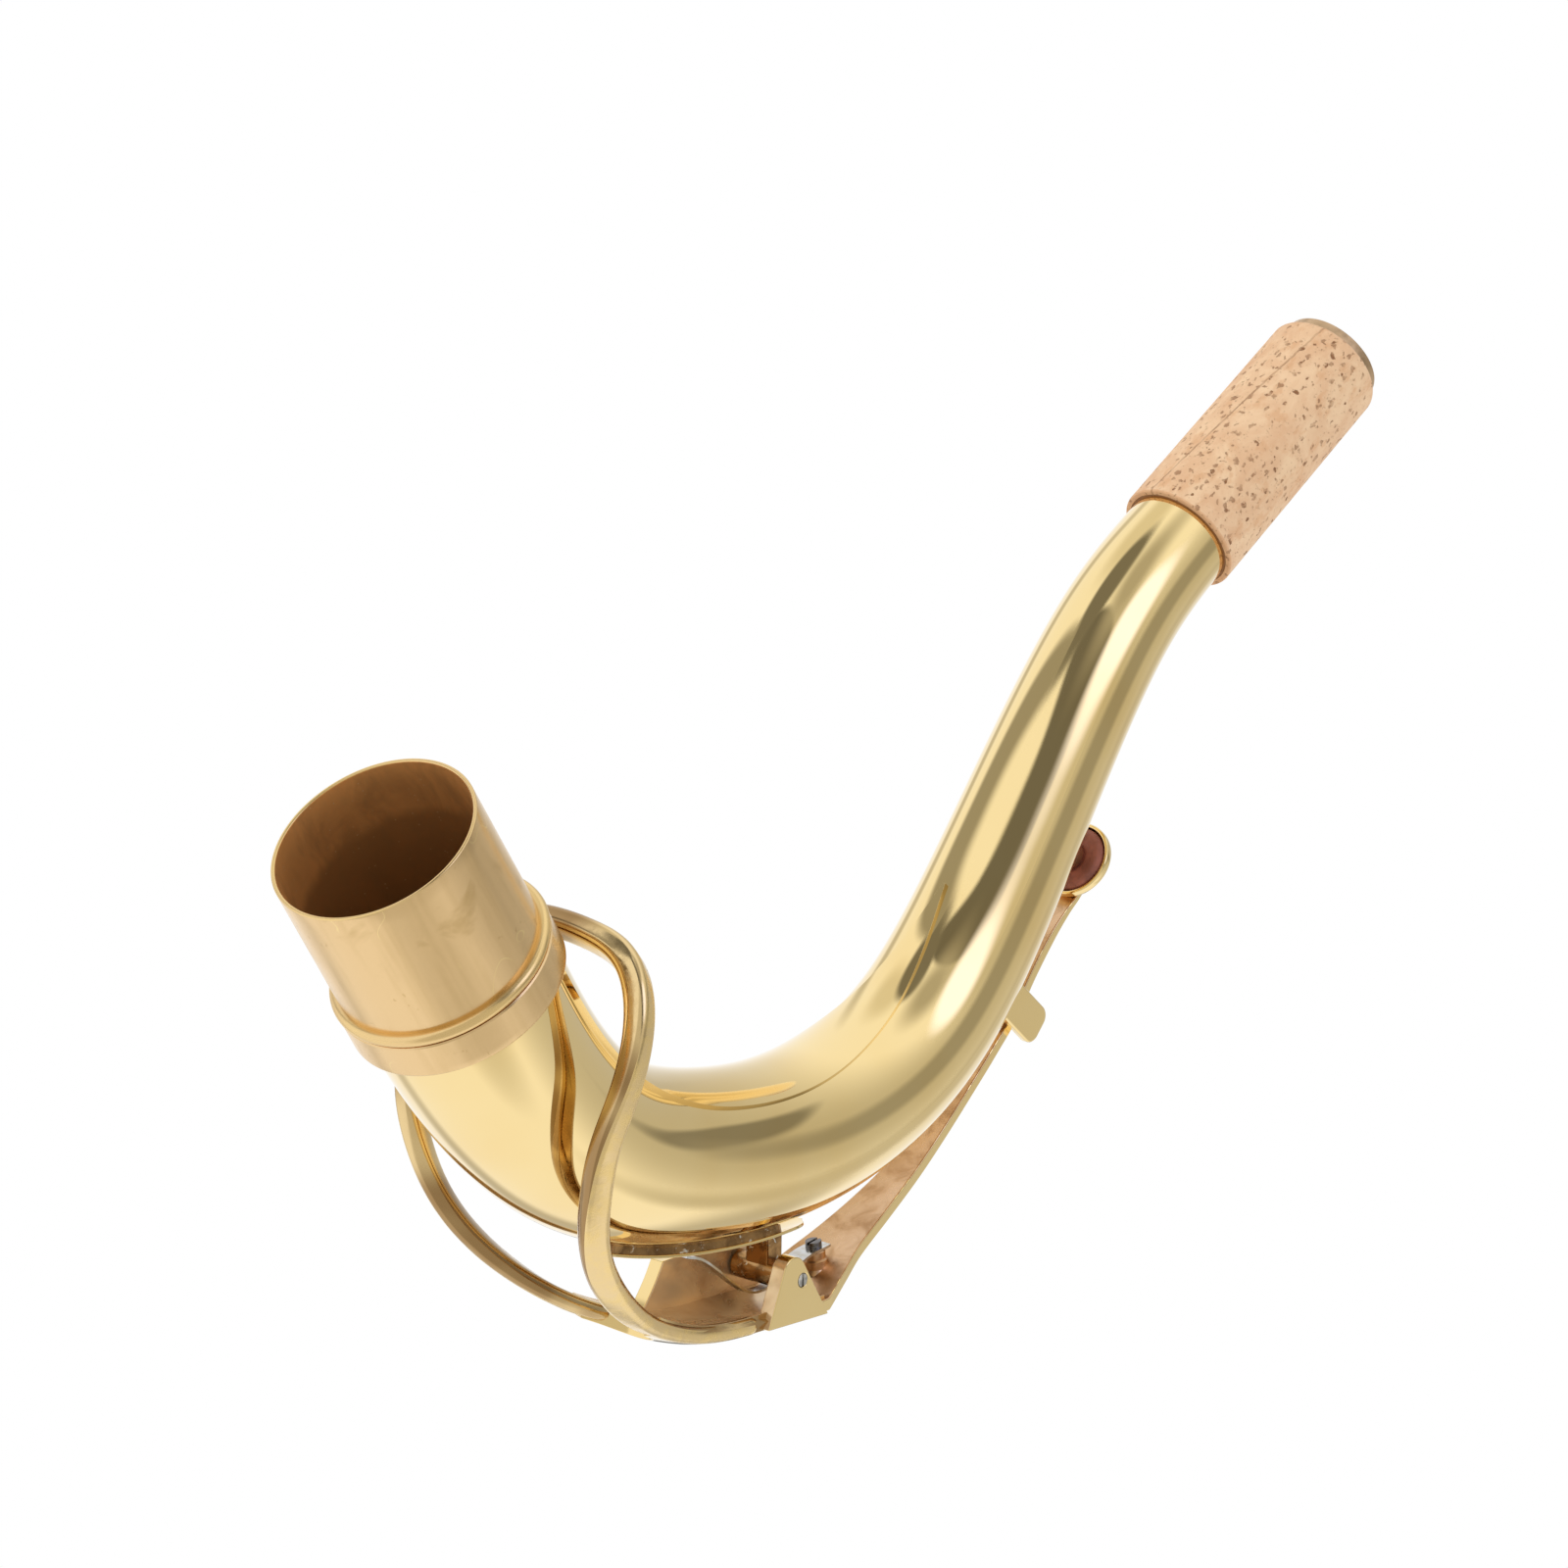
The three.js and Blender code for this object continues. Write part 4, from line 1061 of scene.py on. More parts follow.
class MakeCork(bpy.types.Operator):
    """Wraps the cork and sets the ring at the tip"""

    bl_idname = "saxneck.cork"
    bl_label = "Cork and end ring"

    def execute(self, context):
        s, neck = context.scene.neck_sizes, neck_now()
        start, end = neck.bend_end, neck.bend_end + s.cork_length
        rim, shoulder, skin = 0.3 * MM, 1.1 * MM, 0.3 * MM
        outer = steps(start + rim, end - shoulder, 40)
        taper = (s.cork_tip_radius - s.cork_rim_radius) / (outer[-1] - outer[0])
        profile = (
            [(neck.radius(z) - SUNK, z) for z in steps(end, start, 12)]
            + [(s.cork_rim_radius - rim - SUNK, start)]
            + arc(s.cork_rim_radius - rim, start + rim, rim, -90, 0, 4)
            + [(s.cork_rim_radius + taper * (z - outer[0]), z) for z in outer[1:]]
            + arc(s.cork_tip_radius - shoulder, end - shoulder, shoulder, 0, 90, 8)[1:])
        mesh = spun(profile, CORK_SIDES)
        for vert in mesh.verts:
            place = vert.co.copy()
            radius = math.hypot(place.x, place.y)
            if radius > neck.radius(place.z) + skin:
                seam = math.radians(SEAM_ANGLE + SEAM_LEAN * (place.z - neck.tip) / MM)
                turn = (math.atan2(place.y, place.x) - seam) / (2 * math.pi) % 1
                vert.co *= 1 - SEAM_STEP * turn / radius
                vert.co.z = place.z
        finished(bent(mesh, neck), "cork", FIXED, ["cork_bark"], ["cork_sleeve"],
                 sharp=50)
        edge = 0.2 * MM
        mouth = neck.radius(neck.tip) - s.tube_wall
        profile = (
            [(mouth, z) for z in steps(neck.tip - edge, neck.ring_start - JOINT, 3)]
            + [(s.end_ring_radius, neck.ring_start - JOINT)]
            + arc(s.end_ring_radius - edge, neck.tip - edge, edge, 0, 90, 5)
            + arc(mouth + edge, neck.tip - edge, edge, 90, 180, 5)[:-1])
        finished(bent(lined(spun(profile, TUBE_SIDES)), neck), "tip_ring", FIXED,
                 ["aged_brass", "bore_brass"], ["end_ring"])
        return {"FINISHED"}


class MakeSaddle(bpy.types.Operator):
    """Makes the base plate, the post and the hinge barrel"""

    bl_idname = "saxneck.saddle"
    bl_label = "Saddle"

    def execute(self, context):
        k, neck = context.scene.key_sizes, neck_now()

        def base(start, end, half_width, under, thickness, name, finish, replaces):
            def half_angle(station):
                inside = min((station - start) / long_end, end - station) / half_width
                share = quarter_round(clamped(inside, blunt))
                return math.degrees(math.asin(half_width * share / neck.radius(station)))

            plate_mesh = wrapped_plate(
                neck, steps(start, end, 60), 0, half_angle, under, thickness, 16)
            finished(plate_mesh, name, FIXED, [finish], replaces,
                     edge=0.12 * MM)

        # How many times longer the pointed end is than the round one, and how blunt both are
        long_end, blunt = 7, 0.08
        top_layer = 0.4 * MM
        seat = k.base_thickness - top_layer
        start, end = k.hinge_station - k.base_behind, k.hinge_station + k.base_ahead
        base(start, end, k.base_half_width, seat, top_layer, "saddle_plate", "key_brass",
             ["saddle_base"])
        # How far the seat stays inside the plate: behind, ahead and at the sides
        behind, ahead, beside = 1.5 * MM, 3.6 * MM, 0.4 * MM
        # The seat, like the post and the barrel below, takes the painted shade
        base(start + behind, end - ahead, k.base_half_width - beside, -SUNK,
             seat + 2 * SUNK, "saddle_seat", "burnt_brass", [])
        half, wide, foot = 1.5 * MM, 1.8 * MM, k.base_thickness
        knee, depth = foot + 0.6 * MM, 3.8 * MM
        post = plate([[(-wide, foot), (wide, foot), (half, knee), (half, k.hinge_height),
                       (-half, k.hinge_height), (-half, knee)]], depth)
        moved(post, neck.sideways(k.hinge_station, 0, depth / 2))
        finished(post, "saddle_stem", FIXED, ["burnt_brass"], ["saddle_post"],
                 edge=0.25 * MM)
        bore, edge = k.rod_radius + ROD_CLEARANCE, 0.2 * MM
        outer, half = k.barrel_radius, k.barrel_half
        profile = [(bore, -half), (outer - edge, -half), (outer, edge - half),
                   (outer, half - edge), (outer - edge, half), (bore, half)]
        finished(moved(spun(profile, PIP_SIDES), across_hinge(neck, k)), "hinge_tube", FIXED,
                 ["burnt_brass"], ["hinge_barrel"])
        return {"FINISHED"}


def across_hinge(neck, k):
    """A frame with z along the hinge's axis, towards +Y."""
    along, across, out = neck.axes(k.hinge_station)
    return framed(out, along, across, neck.above(k.hinge_station, k.hinge_height))


class MakePip(bpy.types.Operator):
    """Turns the octave pip and its flange"""

    bl_idname = "saxneck.pip"
    bl_label = "Octave pip"

    def execute(self, context):
        s, k, neck = context.scene.neck_sizes, context.scene.key_sizes, neck_now()
        bore, edge, under_pad = 0.8 * MM, 0.35 * MM, 0.1 * MM
        top = k.pad_height - under_pad
        profile = ([(bore, -s.tube_wall), (s.pip_radius, -s.tube_wall)]
                   + [(s.pip_radius, z) for z in steps(0, top - edge, 3)]
                   + arc(s.pip_radius - edge, top - edge, edge, 0, 90, 5)[1:]
                   + [(bore + edge / 2, top), (bore, top - edge / 2)])
        pip = moved(lined(spun(profile, PIP_SIDES)), neck.upright(s.pip_station, 0))
        finished(pip, "pip", FIXED, ["aged_brass", "bore_brass"], ["octave_pip"])
        rim, thickness = 0.3 * MM, 1.0 * MM
        profile = ([(s.pip_radius - SUNK, -SUNK), (s.pip_flange_radius, -SUNK)]
                   + arc(s.pip_flange_radius - rim, thickness - rim, rim, 0, 90, 4)
                   + arc(s.pip_radius + rim, thickness + rim, rim, -90, -180, 4)
                   + [(s.pip_radius - SUNK, thickness + rim)])
        mesh = spun(profile, FLANGE_SIDES)
        for vert in mesh.verts:
            vert.co = neck.hugging(s.pip_station, vert.co)
        finished(mesh, "pip_foot", FIXED, ["key_brass"], ["pip_flange"])
        return {"FINISHED"}


class MakeGuide(bpy.types.Operator):
    """Makes the forked guide that the arm moves in"""

    bl_idname = "saxneck.guide"
    bl_label = "Arm guide"

    def execute(self, context):
        s, neck = context.scene.neck_sizes, neck_now()
        half, inner, rounding = s.guide_length / 2, 2.7 * MM, 1.7 * MM
        cheek_sunk, foot_sunk, foot_top = 1.2 * MM, 0.4 * MM, 2.2 * MM
        wall, shoulder = s.guide_wall, s.guide_height - rounding
        cheek = ([(-half, -cheek_sunk), (half, -cheek_sunk)]
                 + arc(half - rounding, shoulder, rounding, 0, 90, 8)
                 + arc(rounding - half, shoulder, rounding, 90, 180, 8))
        foot = [(-half, -foot_sunk), (half, -foot_sunk), (half, foot_top), (-half, foot_top)]
        parts = [moved(plate([outline], depth), neck.sideways(s.guide_station, 0, y))
                 for outline, y, depth in (
                     (cheek, inner + wall, wall), (cheek, -inner, wall), (foot, inner, 2 * inner))]
        finished(joined(*parts), "arm_fork", FIXED, ["key_brass"],
                 ["arm_guide"], edge=0.3 * MM)
        return {"FINISHED"}


# Pieces of the octave key

class Key:
    """The web's and the arm's shapes along the neck, from the sizes in the panel."""

    def __init__(self, neck, k):
        self.neck, self.k = neck, k
        self.web_start = k.hinge_station - k.web_behind
        self.web_end = k.hinge_station + k.web_ahead
        self.web_heights = curve_through(WEB_PLACES, WEB_HEIGHTS)
        self.web_widths = curve_through(WEB_PLACES, WEB_WIDTHS)
        self.cup_back = k.pad_height + PAD_DEPTH + k.cup_wall
        self.arm_start = self.web_end + JOINT
        self.arm_end = neck.sizes.pip_station + ARM_PAST_PAD
        self.arm_rises = curve_through(ARM_PLACES, ARM_RISES)
        self.arm_widths = curve_through(ARM_PLACES, ARM_WIDTHS)
        self.arm_slabs = curve_through(ARM_PLACES, ARM_SLABS)
        self.spring_station = k.hinge_station + SPRING_AHEAD

    def web_share(self, station):
        return (station - self.web_start) / (self.web_end - self.web_start)

    def web_half(self, station):
        return self.k.web_half_width * self.web_widths(self.web_share(station))

    def web_top(self, station, share):
        crown = self.k.web_crown * (1 - share * share)
        return self.k.web_height * self.web_heights(self.web_share(station)) + crown

    def arm_share(self, station):
        return (station - self.arm_start) / (self.arm_end - self.arm_start)

    def arm_top(self, station):
        tip = self.cup_back + TONGUE + JOINT
        return tip + (self.k.arm_height - tip) * self.arm_rises(self.arm_share(station))

    def arm_thick(self, station):
        slab = self.arm_slabs(self.arm_share(station))
        return TONGUE + (self.k.arm_thickness - TONGUE) * slab

    def spring_anchor(self):
        """The spring's underside where its screw holds it."""
        under = self.arm_top(self.spring_station) - self.arm_thick(self.spring_station)
        return under - JOINT - STUD_DROP - self.k.spring_thickness


def out_at(point, key):
    """The outward direction near a point of the key."""
    neck = key.neck

    def far(station):
        return (neck.above(station, OVER_TUBE) - point).length_squared

    return neck.axes(min(steps(key.web_start, key.arm_end, 60), key=far))[2]


def key_now():
    return Key(neck_now(), bpy.context.scene.key_sizes)


class MakeRod(bpy.types.Operator):
    """Turns the pivot rod with its slotted end"""

    bl_idname = "saxneck.rod"
    bl_label = "Pivot rod"

    def execute(self, context):
        k, neck = context.scene.key_sizes, neck_now()
        half, slot, edge = k.barrel_half + PLAY + k.lug_thickness, 0.4 * MM, 0.12 * MM
        rod = spun([(0, -half), (k.rod_radius - edge, -half), (k.rod_radius, edge - half),
                    (k.rod_radius, half - slot), (0, half - slot)], SCREW_SIDES, closed=False)
        ends = moved(slotted_end(k.rod_radius, slot, slot), Matrix.Translation((0, 0, half - slot)))
        finished(moved(joined(rod, ends), across_hinge(neck, k)), "pivot_rod", MOVING,
                 ["rod_steel"], ["hinge_rod"], edge=0.06 * MM)
        return {"FINISHED"}


class MakeKeyFrame(bpy.types.Operator):
    """Shapes the key's web, its two lugs and the loop that goes round the neck"""

    bl_idname = "saxneck.key_frame"
    bl_label = "Key web, lugs and loop"

    def execute(self, context):
        key = key_now()
        self.make_web(key)
        self.make_rail(key)
        self.make_lugs(key)
        return {"FINISHED"}

    def make_web(self, key):
        """The web's arched plate, column by column, with the rounded gap behind it."""
        k, neck = key.k, key.neck
        gap_half, gap_depth, gap_start = 5.3 * MM, 4.4 * MM, key.web_start + 5.5 * MM
        # How far the plate stays inside the loop's bars, and how far it stands out of the solid
        margin, skin = 0.6 * MM, 0.02 * MM
        edge_share = gap_half / (k.web_half_width - margin)
        inner = [edge_share * math.sin(math.radians(a)) for a in steps(-90, 90, 30)]
        outer = steps(edge_share, 1, 8)[1:]
        shares = [-share for share in reversed(outer)] + inner + outer

        def start_of(share):
            low, high = gap_start, gap_start + gap_depth
            for _ in range(30):
                middle = (low + high) / 2
                y = share * (key.web_half(middle) - margin)
                inside = (y / gap_half) ** 2 + ((middle - gap_start) / gap_depth) ** 2 < 1
                low, high = (middle, high) if inside else (low, middle)
            return high

        sections = []
        for share in shares:
            stations = steps(start_of(share), key.web_end, 36)
            top, under = [], []
            for station in stations:
                half = key.web_half(station)
                y = share * (half - margin)
                height = key.web_top(station, y / half)
                top.append(neck.above(station, height + skin, y))
                under.append(neck.above(station, height - k.web_thickness - skin, y))
            sections.append(top + under[::-1])
        # The faces under the web take a painted shade with painted highlights, and its sides a
        # painted dark reflection
        web = facing(swept(sections), lambda point: -out_at(point, key), 1, 0.3)
        for face in web.faces:
            middle = face.calc_center_median()
            if abs(middle.y) > gap_half and abs(face.normal.dot(out_at(middle, key))) < 0.5:
                face.material_index = 2
        finished(web, "key_web", MOVING,
                 ["key_brass", "golden_brass", "side_brass"], ["key_body"], edge=0.25 * MM)

    def make_rail(self, key):
        """The bar along one edge of the web, round the neck and back along the other edge."""
        k, neck = key.k, key.neck
        # The air between the collar and the loop, and the loop's place past the collar
        air, past_collar = 1.75 * MM, 6.3 * MM
        # How far into the web its bars run at full width, over what length they narrow and by
        # what share, and how far from the hinge they end
        full, narrowing, slimmed, stop = 8 * MM, 9 * MM, 0.5, 6.2 * MM
        radius = neck.sizes.collar_radius + air + k.loop_thickness / 2
        front, root = neck.bend_start + past_collar, key.web_start - JOINT
        place = curve_through(LOOP_ANGLES, LOOP_PLACES)
        wide = curve_through(LOOP_ANGLES, LOOP_RADII)
        thick = curve_through(LOOP_ANGLES, LOOP_THICKNESSES)

        def edge_point(station, side):
            narrow = clamped((station - key.web_start - full) / narrowing)
            width = k.loop_width * (1 - slimmed * narrow)
            y = key.web_half(station) - width / 2
            height = key.web_top(station, y / key.web_half(station)) - k.web_thickness / 2
            return (neck.above(station, height, side * y), neck.axes(station)[2], width,
                    k.web_thickness)

        def loop_point(degrees):
            angle = min(degrees, 360 - degrees)
            station = front + (root - front) * place(angle)
            point = neck.around(station, radius * wide(angle), degrees)
            return (point, (point - neck.beside(station, 0, 0)).normalized(), k.loop_width,
                    k.loop_thickness * thick(angle))

        # Between its bars and its round part the loop is left free to find its own way
        free_length, free_angle = 2 * MM, 5
        edges = steps(k.hinge_station - stop, key.web_start + free_length, 11)
        first = LOOP_ANGLES[0] + free_angle
        rows = ([edge_point(station, 1) for station in edges]
                + [loop_point(degrees) for degrees in steps(first, 360 - first, 52)]
                + [edge_point(station, -1) for station in reversed(edges)])
        for _ in range(LOOP_SMOOTHINGS):
            rows = [rows[0]] + [
                tuple(0.25 * a + 0.5 * b + 0.25 * c for a, b, c in zip(*rows[i - 1:i + 2]))
                for i in range(1, len(rows) - 1)] + [rows[-1]]
        points, ups, widths, thicknesses = (smooth_path(column, 4) for column in zip(*rows))
        sections, inward = [], []
        last = len(points) - 1
        for i, point in enumerate(points):
            heading = (points[min(i + 1, last)] - points[max(i - 1, 0)]).normalized()
            up = (ups[i] - heading * ups[i].dot(heading)).normalized()
            side = up.cross(heading)
            inward.append((side, -up))
            near_end = min((point - points[end]).length for end in (0, last)) / k.loop_edge
            share = quarter_round(min(near_end + 0.06, 1))
            sections.append([point + (side * a + up * b) * share for a, b in rounded(
                widths[i] / 2, thicknesses[i] / 2, k.loop_edge)])
        bar = swept(sections)
        # The faces turned inward and towards the tube take a painted dark reflection
        for face in bar.faces:
            middle = face.calc_center_median()
            near = min(range(last + 1), key=lambda i: (points[i] - middle).length_squared)
            if max(face.normal.dot(direction) for direction in inward[near]) > 0.6:
                face.material_index = 1
        finished(bar, "key_loop_bar", MOVING, ["bar_brass", "side_brass"],
                 ["key_loop"], sharp=50)

    def make_lugs(self, key):
        """The two lugs on the rod. The far one runs back and ends in a hollow curve."""
        k, neck = key.k, key.neck
        tip = 3.3 * MM
        ahead, behind = (5.3 * MM, 5.9 * MM), (-6.8 * MM, 5.4 * MM)
        hole = arc(0, 0, k.rod_radius + 0.04 * MM, 360, 15, 23)
        near = [ahead, behind] + arc(-1.75 * MM, -1.3 * MM, 2.2 * MM, 201, 325.5, 20)
        heel, hollow, toe = (Vector(place) * MM for place in (
            (-19.8, 3.2), (-16.6, 0), (-14.8, -3.6)))
        curve = [tuple(heel * (1 - t) ** 2 + hollow * 2 * t * (1 - t) + toe * t * t)
                 for t in steps(0, 1, 12)]
        far = [ahead, behind] + curve + [(-tip, toe.y)] + arc(0, 0, tip, 252, 345, 18)
        inner = k.barrel_half + PLAY
        along, across, out = neck.axes(k.hinge_station)
        for name, outline, y, inside in (
                ("near_lug", near, inner + k.lug_thickness, -along),
                ("far_lug", far, -inner, across)):
            lug = moved(plate([outline, hole], k.lug_thickness),
                        neck.sideways(k.hinge_station, k.hinge_height, y))
            # The lugs' inner faces take a painted shade
            facing(lug, lambda point: inside, 1, 0.5)
            finished(lug, name, MOVING, ["key_brass", "golden_brass"], [],
                     edge=0.18 * MM)


class MakeArm(bpy.types.Operator):
    """Shapes the arm from the web to the pad cup"""

    bl_idname = "saxneck.arm"
    bl_label = "Arm"

    def execute(self, context):
        key = key_now()
        k = key.k
        under_web = 1.2 * MM

        def width_share(station):
            return key.arm_widths(key.arm_share(station))

        arm = strip(
            key.neck, steps(key.arm_start - under_web, key.arm_end, 110), key.arm_top,
            key.arm_thick, lambda station: k.arm_half_width * width_share(station),
            lambda station: k.arm_crown * width_share(station) ** 2, 14)
        facing(arm, lambda point: -out_at(point, key), 1)
        finished(arm, "lever_arm", MOVING, ["key_brass", "cast_brass"],
                 ["key_arm"], edge=0.25 * MM)
        return {"FINISHED"}


class MakeSpring(bpy.types.Operator):
    """Fits the flat spring, its stud and its screw"""

    bl_idname = "saxneck.spring"
    bl_label = "Spring, stud and screw"

    def execute(self, context):
        key = key_now()
        k, neck = key.k, key.neck
        anchor = key.spring_anchor()
        over = k.hinge_height + k.barrel_radius + JOINT
        rest = k.base_thickness + JOINT + 0.1 * MM
        past_screw, behind_hinge, bend_starts = 1.4 * MM, 14.2 * MM, 2 * MM
        narrow, widening, taper = 0.75 * MM, 0.7 * MM, 4 * MM
        heights = [anchor, anchor] + [over + (rest - over) * fall for fall in SPRING_FALLS]
        under = curve_through(SPRING_PLACES, heights)
        start, end = key.spring_station + past_screw, k.hinge_station - behind_hinge
        spring = strip(
            neck, steps(end, start, 60),
            lambda station: k.spring_thickness + under((start - station) / (start - end)),
            lambda station: k.spring_thickness,
            lambda station: narrow + widening * clamped((station - k.hinge_station) / taper),
            lambda station: 0, 4)
        # Its screwed end is on the key and its free end rests on the base plate; the two points
        # between which it would bend are handed on, but the spring is only left in place
        bend = [neck.above(k.hinge_station - bend_starts, over), neck.above(end, rest)]
        finished(spring, "leaf_spring", (MOVING, FIXED, *bend), ["spring_steel"],
                 ["flat_spring"])
        frame_here = neck.upright(key.spring_station, 0)
        under_top, edge, foot_height, flare_height = 0.4 * MM, 0.15 * MM, 1.1 * MM, 0.6 * MM
        foot, body, flare = 1.5 * MM, 1.75 * MM, 2.2 * MM
        top = key.arm_top(key.spring_station) - under_top
        low = anchor + k.spring_thickness
        step = low + foot_height
        stud = spun([(0, low), (foot - edge, low), (foot, low + edge), (foot, step),
                     (body, step + 0.2 * MM), (body, top - flare_height), (flare, top), (0, top)],
                    STUD_SIDES, closed=False)
        finished(moved(stud, frame_here), "spring_stud", MOVING, ["cast_brass"],
                 ["spring_boss"])
        slot, head, radius, shank, reach = 0.35 * MM, 0.85 * MM, 1.1 * MM, 0.8 * MM, 1.5 * MM
        seat = anchor - SUNK
        screw = spun([(0, slot - head), (radius, slot - head), (radius, 0), (shank, 0),
                      (shank, reach), (0, reach)], SCREW_SIDES, closed=False)
        crown = moved(slotted_end(radius, slot, slot), Matrix.Translation((0, 0, -head)))
        finished(moved(joined(screw, crown), frame_here @ Matrix.Translation((0, 0, seat))),
                 "slotted_screw", MOVING, ["screw_steel"], ["spring_screw"],
                 edge=0.07 * MM)
        return {"FINISHED"}


class MakePad(bpy.types.Operator):
    """Builds the pad: its cup, card, felt and leather"""

    bl_idname = "saxneck.pad"
    bl_label = "Pad and cup"

    def execute(self, context):
        key = key_now()
        k, neck = key.k, key.neck
        here = neck.upright(neck.sizes.pip_station, k.pad_height)
        back = key.cup_back - k.pad_height
        bore, floor, lip = k.cup_radius - k.cup_wall, back - k.cup_wall, k.cup_wall / 2
        rim, corner, rounding = 0.3 * MM, 0.3 * MM, 1.1 * MM
        profile = ([(0, floor), (bore - corner, floor), (bore, floor - corner)]
                   + arc(bore + lip, rim + lip, lip, 180, 360, 8)
                   + arc(k.cup_radius - rounding, back - rounding, rounding, 0, 90, 10)
                   + [(0, back)])
        finished(moved(spun(profile, PAD_SIDES, closed=False), here), "cup", MOVING,
                 ["key_brass"], ["pad_cup"])
        r = k.pad_radius
        puffed = curve_through(PUFF_PLACES, PUFF_DEPTHS)
        face = [(r * share, puffed(share) * MM) for share in steps(0, 1, 40)]
        side = [(r + out * MM, up * MM) for out, up in ((0.1, 0.55), (0.12, 0.85), (0, 1.12))]
        skin = spun(face + side + [(0, side[-1][1])], PAD_SIDES, closed=False)
        leather = finished(moved(skin, here), "pad_skin", MOVING,
                           ["tanned_leather"], ["pad_leather"], sharp=60)
        edge, inset = 0.08 * MM, 0.3 * MM
        # Each disc: its name, the node that it hides, its finish, and its two heights in
        # millimetres
        for name, slot, finish, low, high in (
                ("pad_felt_disc", "pad_felt", "pressed_felt", 1.14, 1.4),
                ("pad_card_disc", "pad_card", "pressed_card", 1.41, 1.63)):
            low, high, disc = low * MM, high * MM, r - inset
            profile = [(0, low), (disc - edge, low), (disc, low + edge), (disc, high - edge),
                       (disc - edge, high), (0, high)]
            finished(moved(spun(profile, PIP_SIDES, closed=False), here), name, MOVING,
                     [finish], [slot])
        return {"FINISHED"}


# Stage

STAGE_MIDDLE = Vector((0.07, 0, 0.06))
FLOOR_HEIGHT, FLOOR_RADIUS = -0.85, 6
WORLD_FILL = 0.95
# The camera, fitted to the photograph
LENS, SENSOR = 206.505, 36
CAMERA_PLACE = Vector((-0.4787298, 0.7268331, -0.6831198))
CAMERA_FORWARD = Vector((0.46218847, -0.62394589, 0.63013756))
CAMERA_UP = Vector((0.70108523, -0.17802098, -0.6904984))
CAMERA_RIGHT = Vector((0.54301134, 0.76092053, 0.35516))
# The cards' distance, and how much nearer each one stands than the one before
CARD_DISTANCE, CARD_STEP = 3.0, 0.1
SOFTBOX_TINT = (0.86, 0.9, 1.25)
CARD_TINT = (1.02, 0.99, 0.9)
# Each card: degrees right of the camera and above it, half width and height in degrees, turn,
# softness of its edge, and shade
CARDS = (
    ((-132, 35), (7, 45), 20, 0.6, 0.6),
    ((125, -42), (8, 40), -30, 0.6, 0.6),
    ((20, -138), (40, 8), 0, 0.6, 0.55),
    ((15, -19), (58, 61), -3, 0.22, 0.64),
    ((-22, 92), (13, 16), -29, 0.56, 0.75),
    ((111, 22), (58, 36), 23, 0.80, 0.54),
    ((105, 31), (6, 19), 12, 0.3, 0.25),
    ((-19, 69), (14, 17), -33, 0.22, 0.2),
    ((-62, 62), (37, 6), 29, 0.4, 0.35),
    ((9, 36), (37, 9), -45, 0.14, 0.17),
    ((46, -151), (3, 18), -43, 0.17, 0.18),
    ((83, -5), (11, 27), -67, 0.40, 0.35),
    ((17, 55), (15, 16), -20, 0.66, 0.46),
    ((44, 28), (19, 12), -28, 0.32, 1.6),
)
# The lamp: name, degrees right of the camera and above it, distance, width and height, power
LAMP = ("softbox", (-35, 50), 0.9, (0.5, 0.5), 2.5)


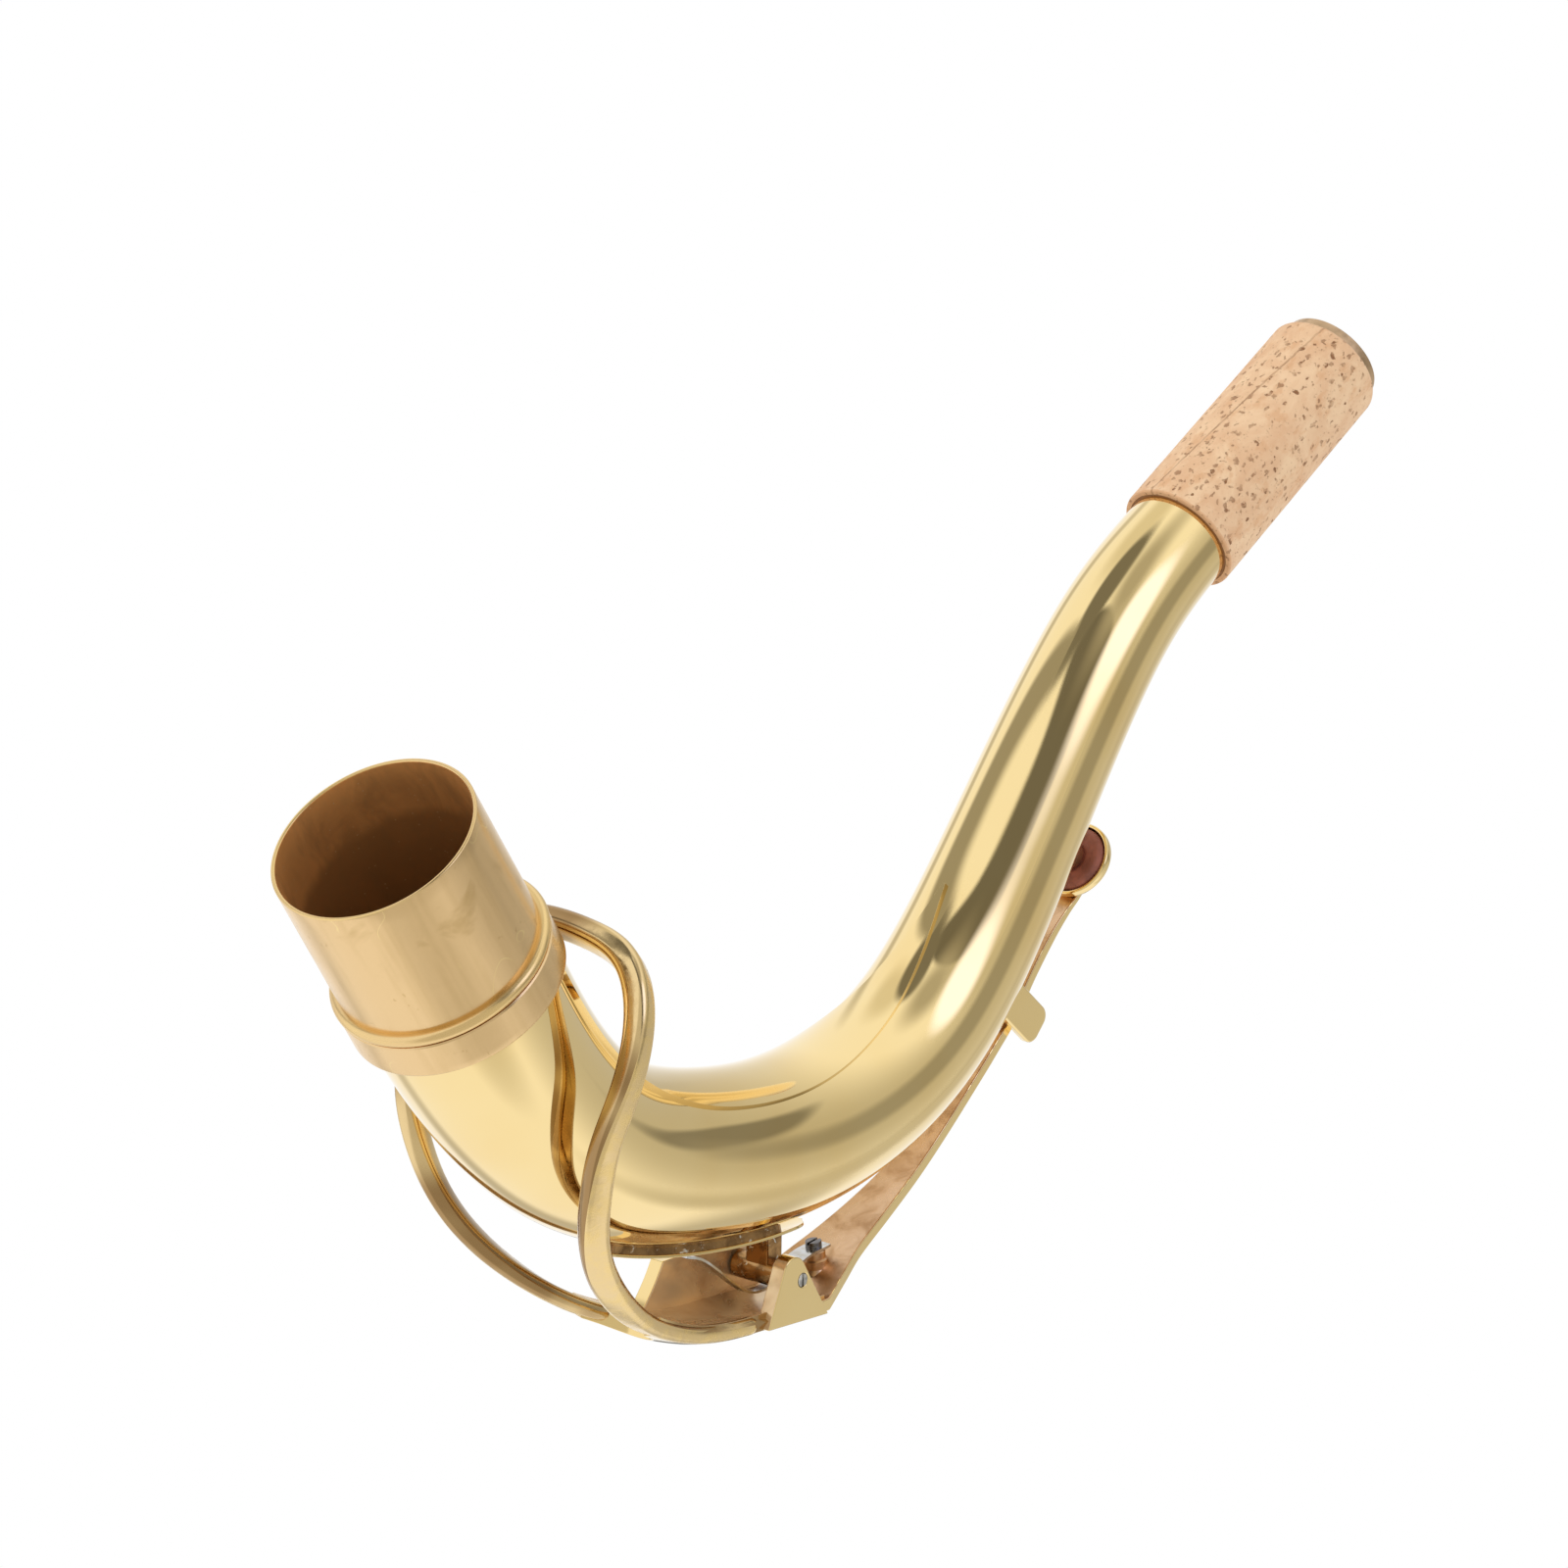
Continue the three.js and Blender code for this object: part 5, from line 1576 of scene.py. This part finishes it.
class MakeStage(bpy.types.Operator):
    """Sets the floor, the reflecting cards, the lamps, the world and the camera"""

    bl_idname = "saxneck.stage"
    bl_label = "Stage"

    def execute(self, context):
        scene = context.scene
        self.make_floor(scene)
        self.make_world(scene)
        for count, card in enumerate(CARDS):
            self.make_card(scene, count, *card)
        self.make_lamp(scene, *LAMP)
        self.make_camera(scene)
        scene.view_settings.view_transform = "Standard"
        return {"FINISHED"}

    def make_floor(self, scene):
        mesh = bmesh.new()
        bmesh.ops.create_circle(mesh, cap_ends=True, segments=96, radius=FLOOR_RADIUS)
        bmesh.ops.translate(mesh, vec=(0, 0, FLOOR_HEIGHT), verts=mesh.verts[:])
        data = bpy.data.meshes.new("floor")
        mesh.to_mesh(data)
        mesh.free()
        finish = Finish("floor_paper")
        grain = finish.noise(finish.place(), 900, 3)
        finish.set(base_color=scene.neck_colours.floor, specular_ior_level=0,
                   roughness=finish.level(grain, 0.3, 0.7, 0.8, 0.95))
        data.materials.append(finish.material)
        floor = bpy.data.objects.new("floor", data)
        scene.collection.objects.link(floor)
        floor.visible_glossy = False

    def make_world(self, scene):
        world = bpy.data.worlds.new("studio")
        world.use_nodes = True
        scene.world = world
        tree = world.node_tree
        tree.nodes.clear()
        path = tree.nodes.new("ShaderNodeLightPath")
        seen = path.outputs["Is Camera Ray"]
        for ray in ("Is Glossy Ray", "Is Transmission Ray"):
            both = tree.nodes.new("ShaderNodeMath")
            both.operation = "MAXIMUM"
            tree.links.new(seen, both.inputs[0])
            tree.links.new(path.outputs[ray], both.inputs[1])
            seen = both.outputs[0]
        fill, white = (tree.nodes.new("ShaderNodeBackground") for _ in range(2))
        fill.inputs["Strength"].default_value = WORLD_FILL
        white.inputs["Strength"].default_value = 1
        for background in (fill, white):
            background.inputs["Color"].default_value = (1, 1, 1, 1)
        mix = tree.nodes.new("ShaderNodeMixShader")
        tree.links.new(seen, mix.inputs[0])
        tree.links.new(fill.outputs[0], mix.inputs[1])
        tree.links.new(white.outputs[0], mix.inputs[2])
        tree.links.new(mix.outputs[0], tree.nodes.new("ShaderNodeOutputWorld").inputs[0])

    def make_lamp(self, scene, name, place, distance, size, power):
        light = bpy.data.lights.new(name, "AREA")
        light.shape = "RECTANGLE"
        light.size, light.size_y = size
        light.energy = power
        lamp = bpy.data.objects.new(name, light)
        direction = studio_axes(*place, 0)[0]
        lamp.matrix_world = direction.to_track_quat("Z", "Y").to_matrix().to_4x4()
        lamp.matrix_world.translation = STAGE_MIDDLE + direction * distance
        scene.collection.objects.link(lamp)
        lamp.visible_glossy = False

    def make_card(self, scene, count, place, halves, turn, soft, shade):
        """A round card with a soft edge that only reflections see. Later ones stand in front."""
        middle, across, upwards = studio_axes(*place, turn)
        distance = CARD_DISTANCE - count * CARD_STEP
        wide, high = (distance * math.tan(math.radians(half)) for half in halves)
        mesh = bmesh.new()
        bmesh.ops.create_grid(mesh, x_segments=1, y_segments=1, size=1 + soft)
        data = bpy.data.meshes.new("studio_card")
        mesh.to_mesh(data)
        mesh.free()
        finish = Finish("studio_card")
        off = finish.vector("LENGTH", finish.place(), output="Value")
        tint = SOFTBOX_TINT if shade > 1 else CARD_TINT
        glow = finish.add("Emission", {"Color": opaque(tint), "Strength": shade})
        clear = finish.add("BsdfTransparent", {})
        edge = finish.add("MixShader", {
            0: finish.level(off, 1 - soft, 1 + soft), 1: glow.outputs[0], 2: clear.outputs[0]})
        finish.tree.links.new(edge.outputs[0],
                              finish.tree.nodes["Material Output"].inputs["Surface"])
        data.materials.append(finish.material)
        card = bpy.data.objects.new("studio_card", data)
        card.matrix_world = framed(across * wide, upwards * high, middle,
                                   STAGE_MIDDLE + middle * distance)
        scene.collection.objects.link(card)
        card.visible_camera = card.visible_diffuse = card.visible_shadow = False
        card.visible_transmission = False

    def make_camera(self, scene):
        data = bpy.data.cameras.new("photo_camera")
        data.lens, data.sensor_width = LENS, SENSOR
        data.clip_start, data.clip_end = 0.05, 30
        camera = bpy.data.objects.new("photo_camera", data)
        camera.matrix_world = framed(CAMERA_RIGHT, CAMERA_UP, -CAMERA_FORWARD, CAMERA_PLACE)
        scene.collection.objects.link(camera)
        scene.camera = camera


def studio_axes(right, up, turn):
    """A direction in degrees right of the camera and above it, seen from the neck, and its axes."""
    angle = math.radians(math.hypot(right, up))
    heading = (CAMERA_RIGHT * right + CAMERA_UP * up).normalized()
    middle = -CAMERA_FORWARD * math.cos(angle) + heading * math.sin(angle)
    across = CAMERA_UP.cross(middle).normalized()
    upwards = middle.cross(across)
    tilt = math.radians(turn)
    return (middle, across * math.cos(tilt) + upwards * math.sin(tilt),
            upwards * math.cos(tilt) - across * math.sin(tilt))


OPERATORS = (MakeTenon, MakeTube, MakeBrace, MakeCork, MakeSaddle, MakePip, MakeGuide, MakeRod,
             MakeKeyFrame, MakeArm, MakeSpring, MakePad, MakeStage)


class NECK_PT_maker(bpy.types.Panel):
    """Lists the sizes, the colours and the steps that make the neck"""

    bl_idname = "NECK_PT_maker"
    bl_label = "Saxophone neck"
    bl_space_type = "VIEW_3D"
    bl_region_type = "UI"
    bl_category = "Saxophone neck"

    def draw(self, context):
        scene = context.scene
        for operator in OPERATORS:
            self.layout.operator(operator.bl_idname)
        for group in (scene.neck_sizes, scene.key_sizes, scene.neck_colours):
            box = self.layout.box()
            for name in group.__annotations__:
                box.prop(group, name)


CLASSES = (NeckSizes, KeySizes, NeckColours, *OPERATORS, NECK_PT_maker)


def register():
    for item in CLASSES:
        bpy.utils.register_class(item)
    bpy.types.Scene.neck_sizes = PointerProperty(type=NeckSizes)
    bpy.types.Scene.key_sizes = PointerProperty(type=KeySizes)
    bpy.types.Scene.neck_colours = PointerProperty(type=NeckColours)


def unregister():
    del bpy.types.Scene.neck_colours
    del bpy.types.Scene.key_sizes
    del bpy.types.Scene.neck_sizes
    for item in reversed(CLASSES):
        bpy.utils.unregister_class(item)


def main():
    register()
    for operator in OPERATORS:
        family, name = operator.bl_idname.split(".")
        if getattr(getattr(bpy.ops, family), name)() != {"FINISHED"}:
            raise RuntimeError(f"{operator.bl_label} was not made")


if __name__ == "__main__":
    main()
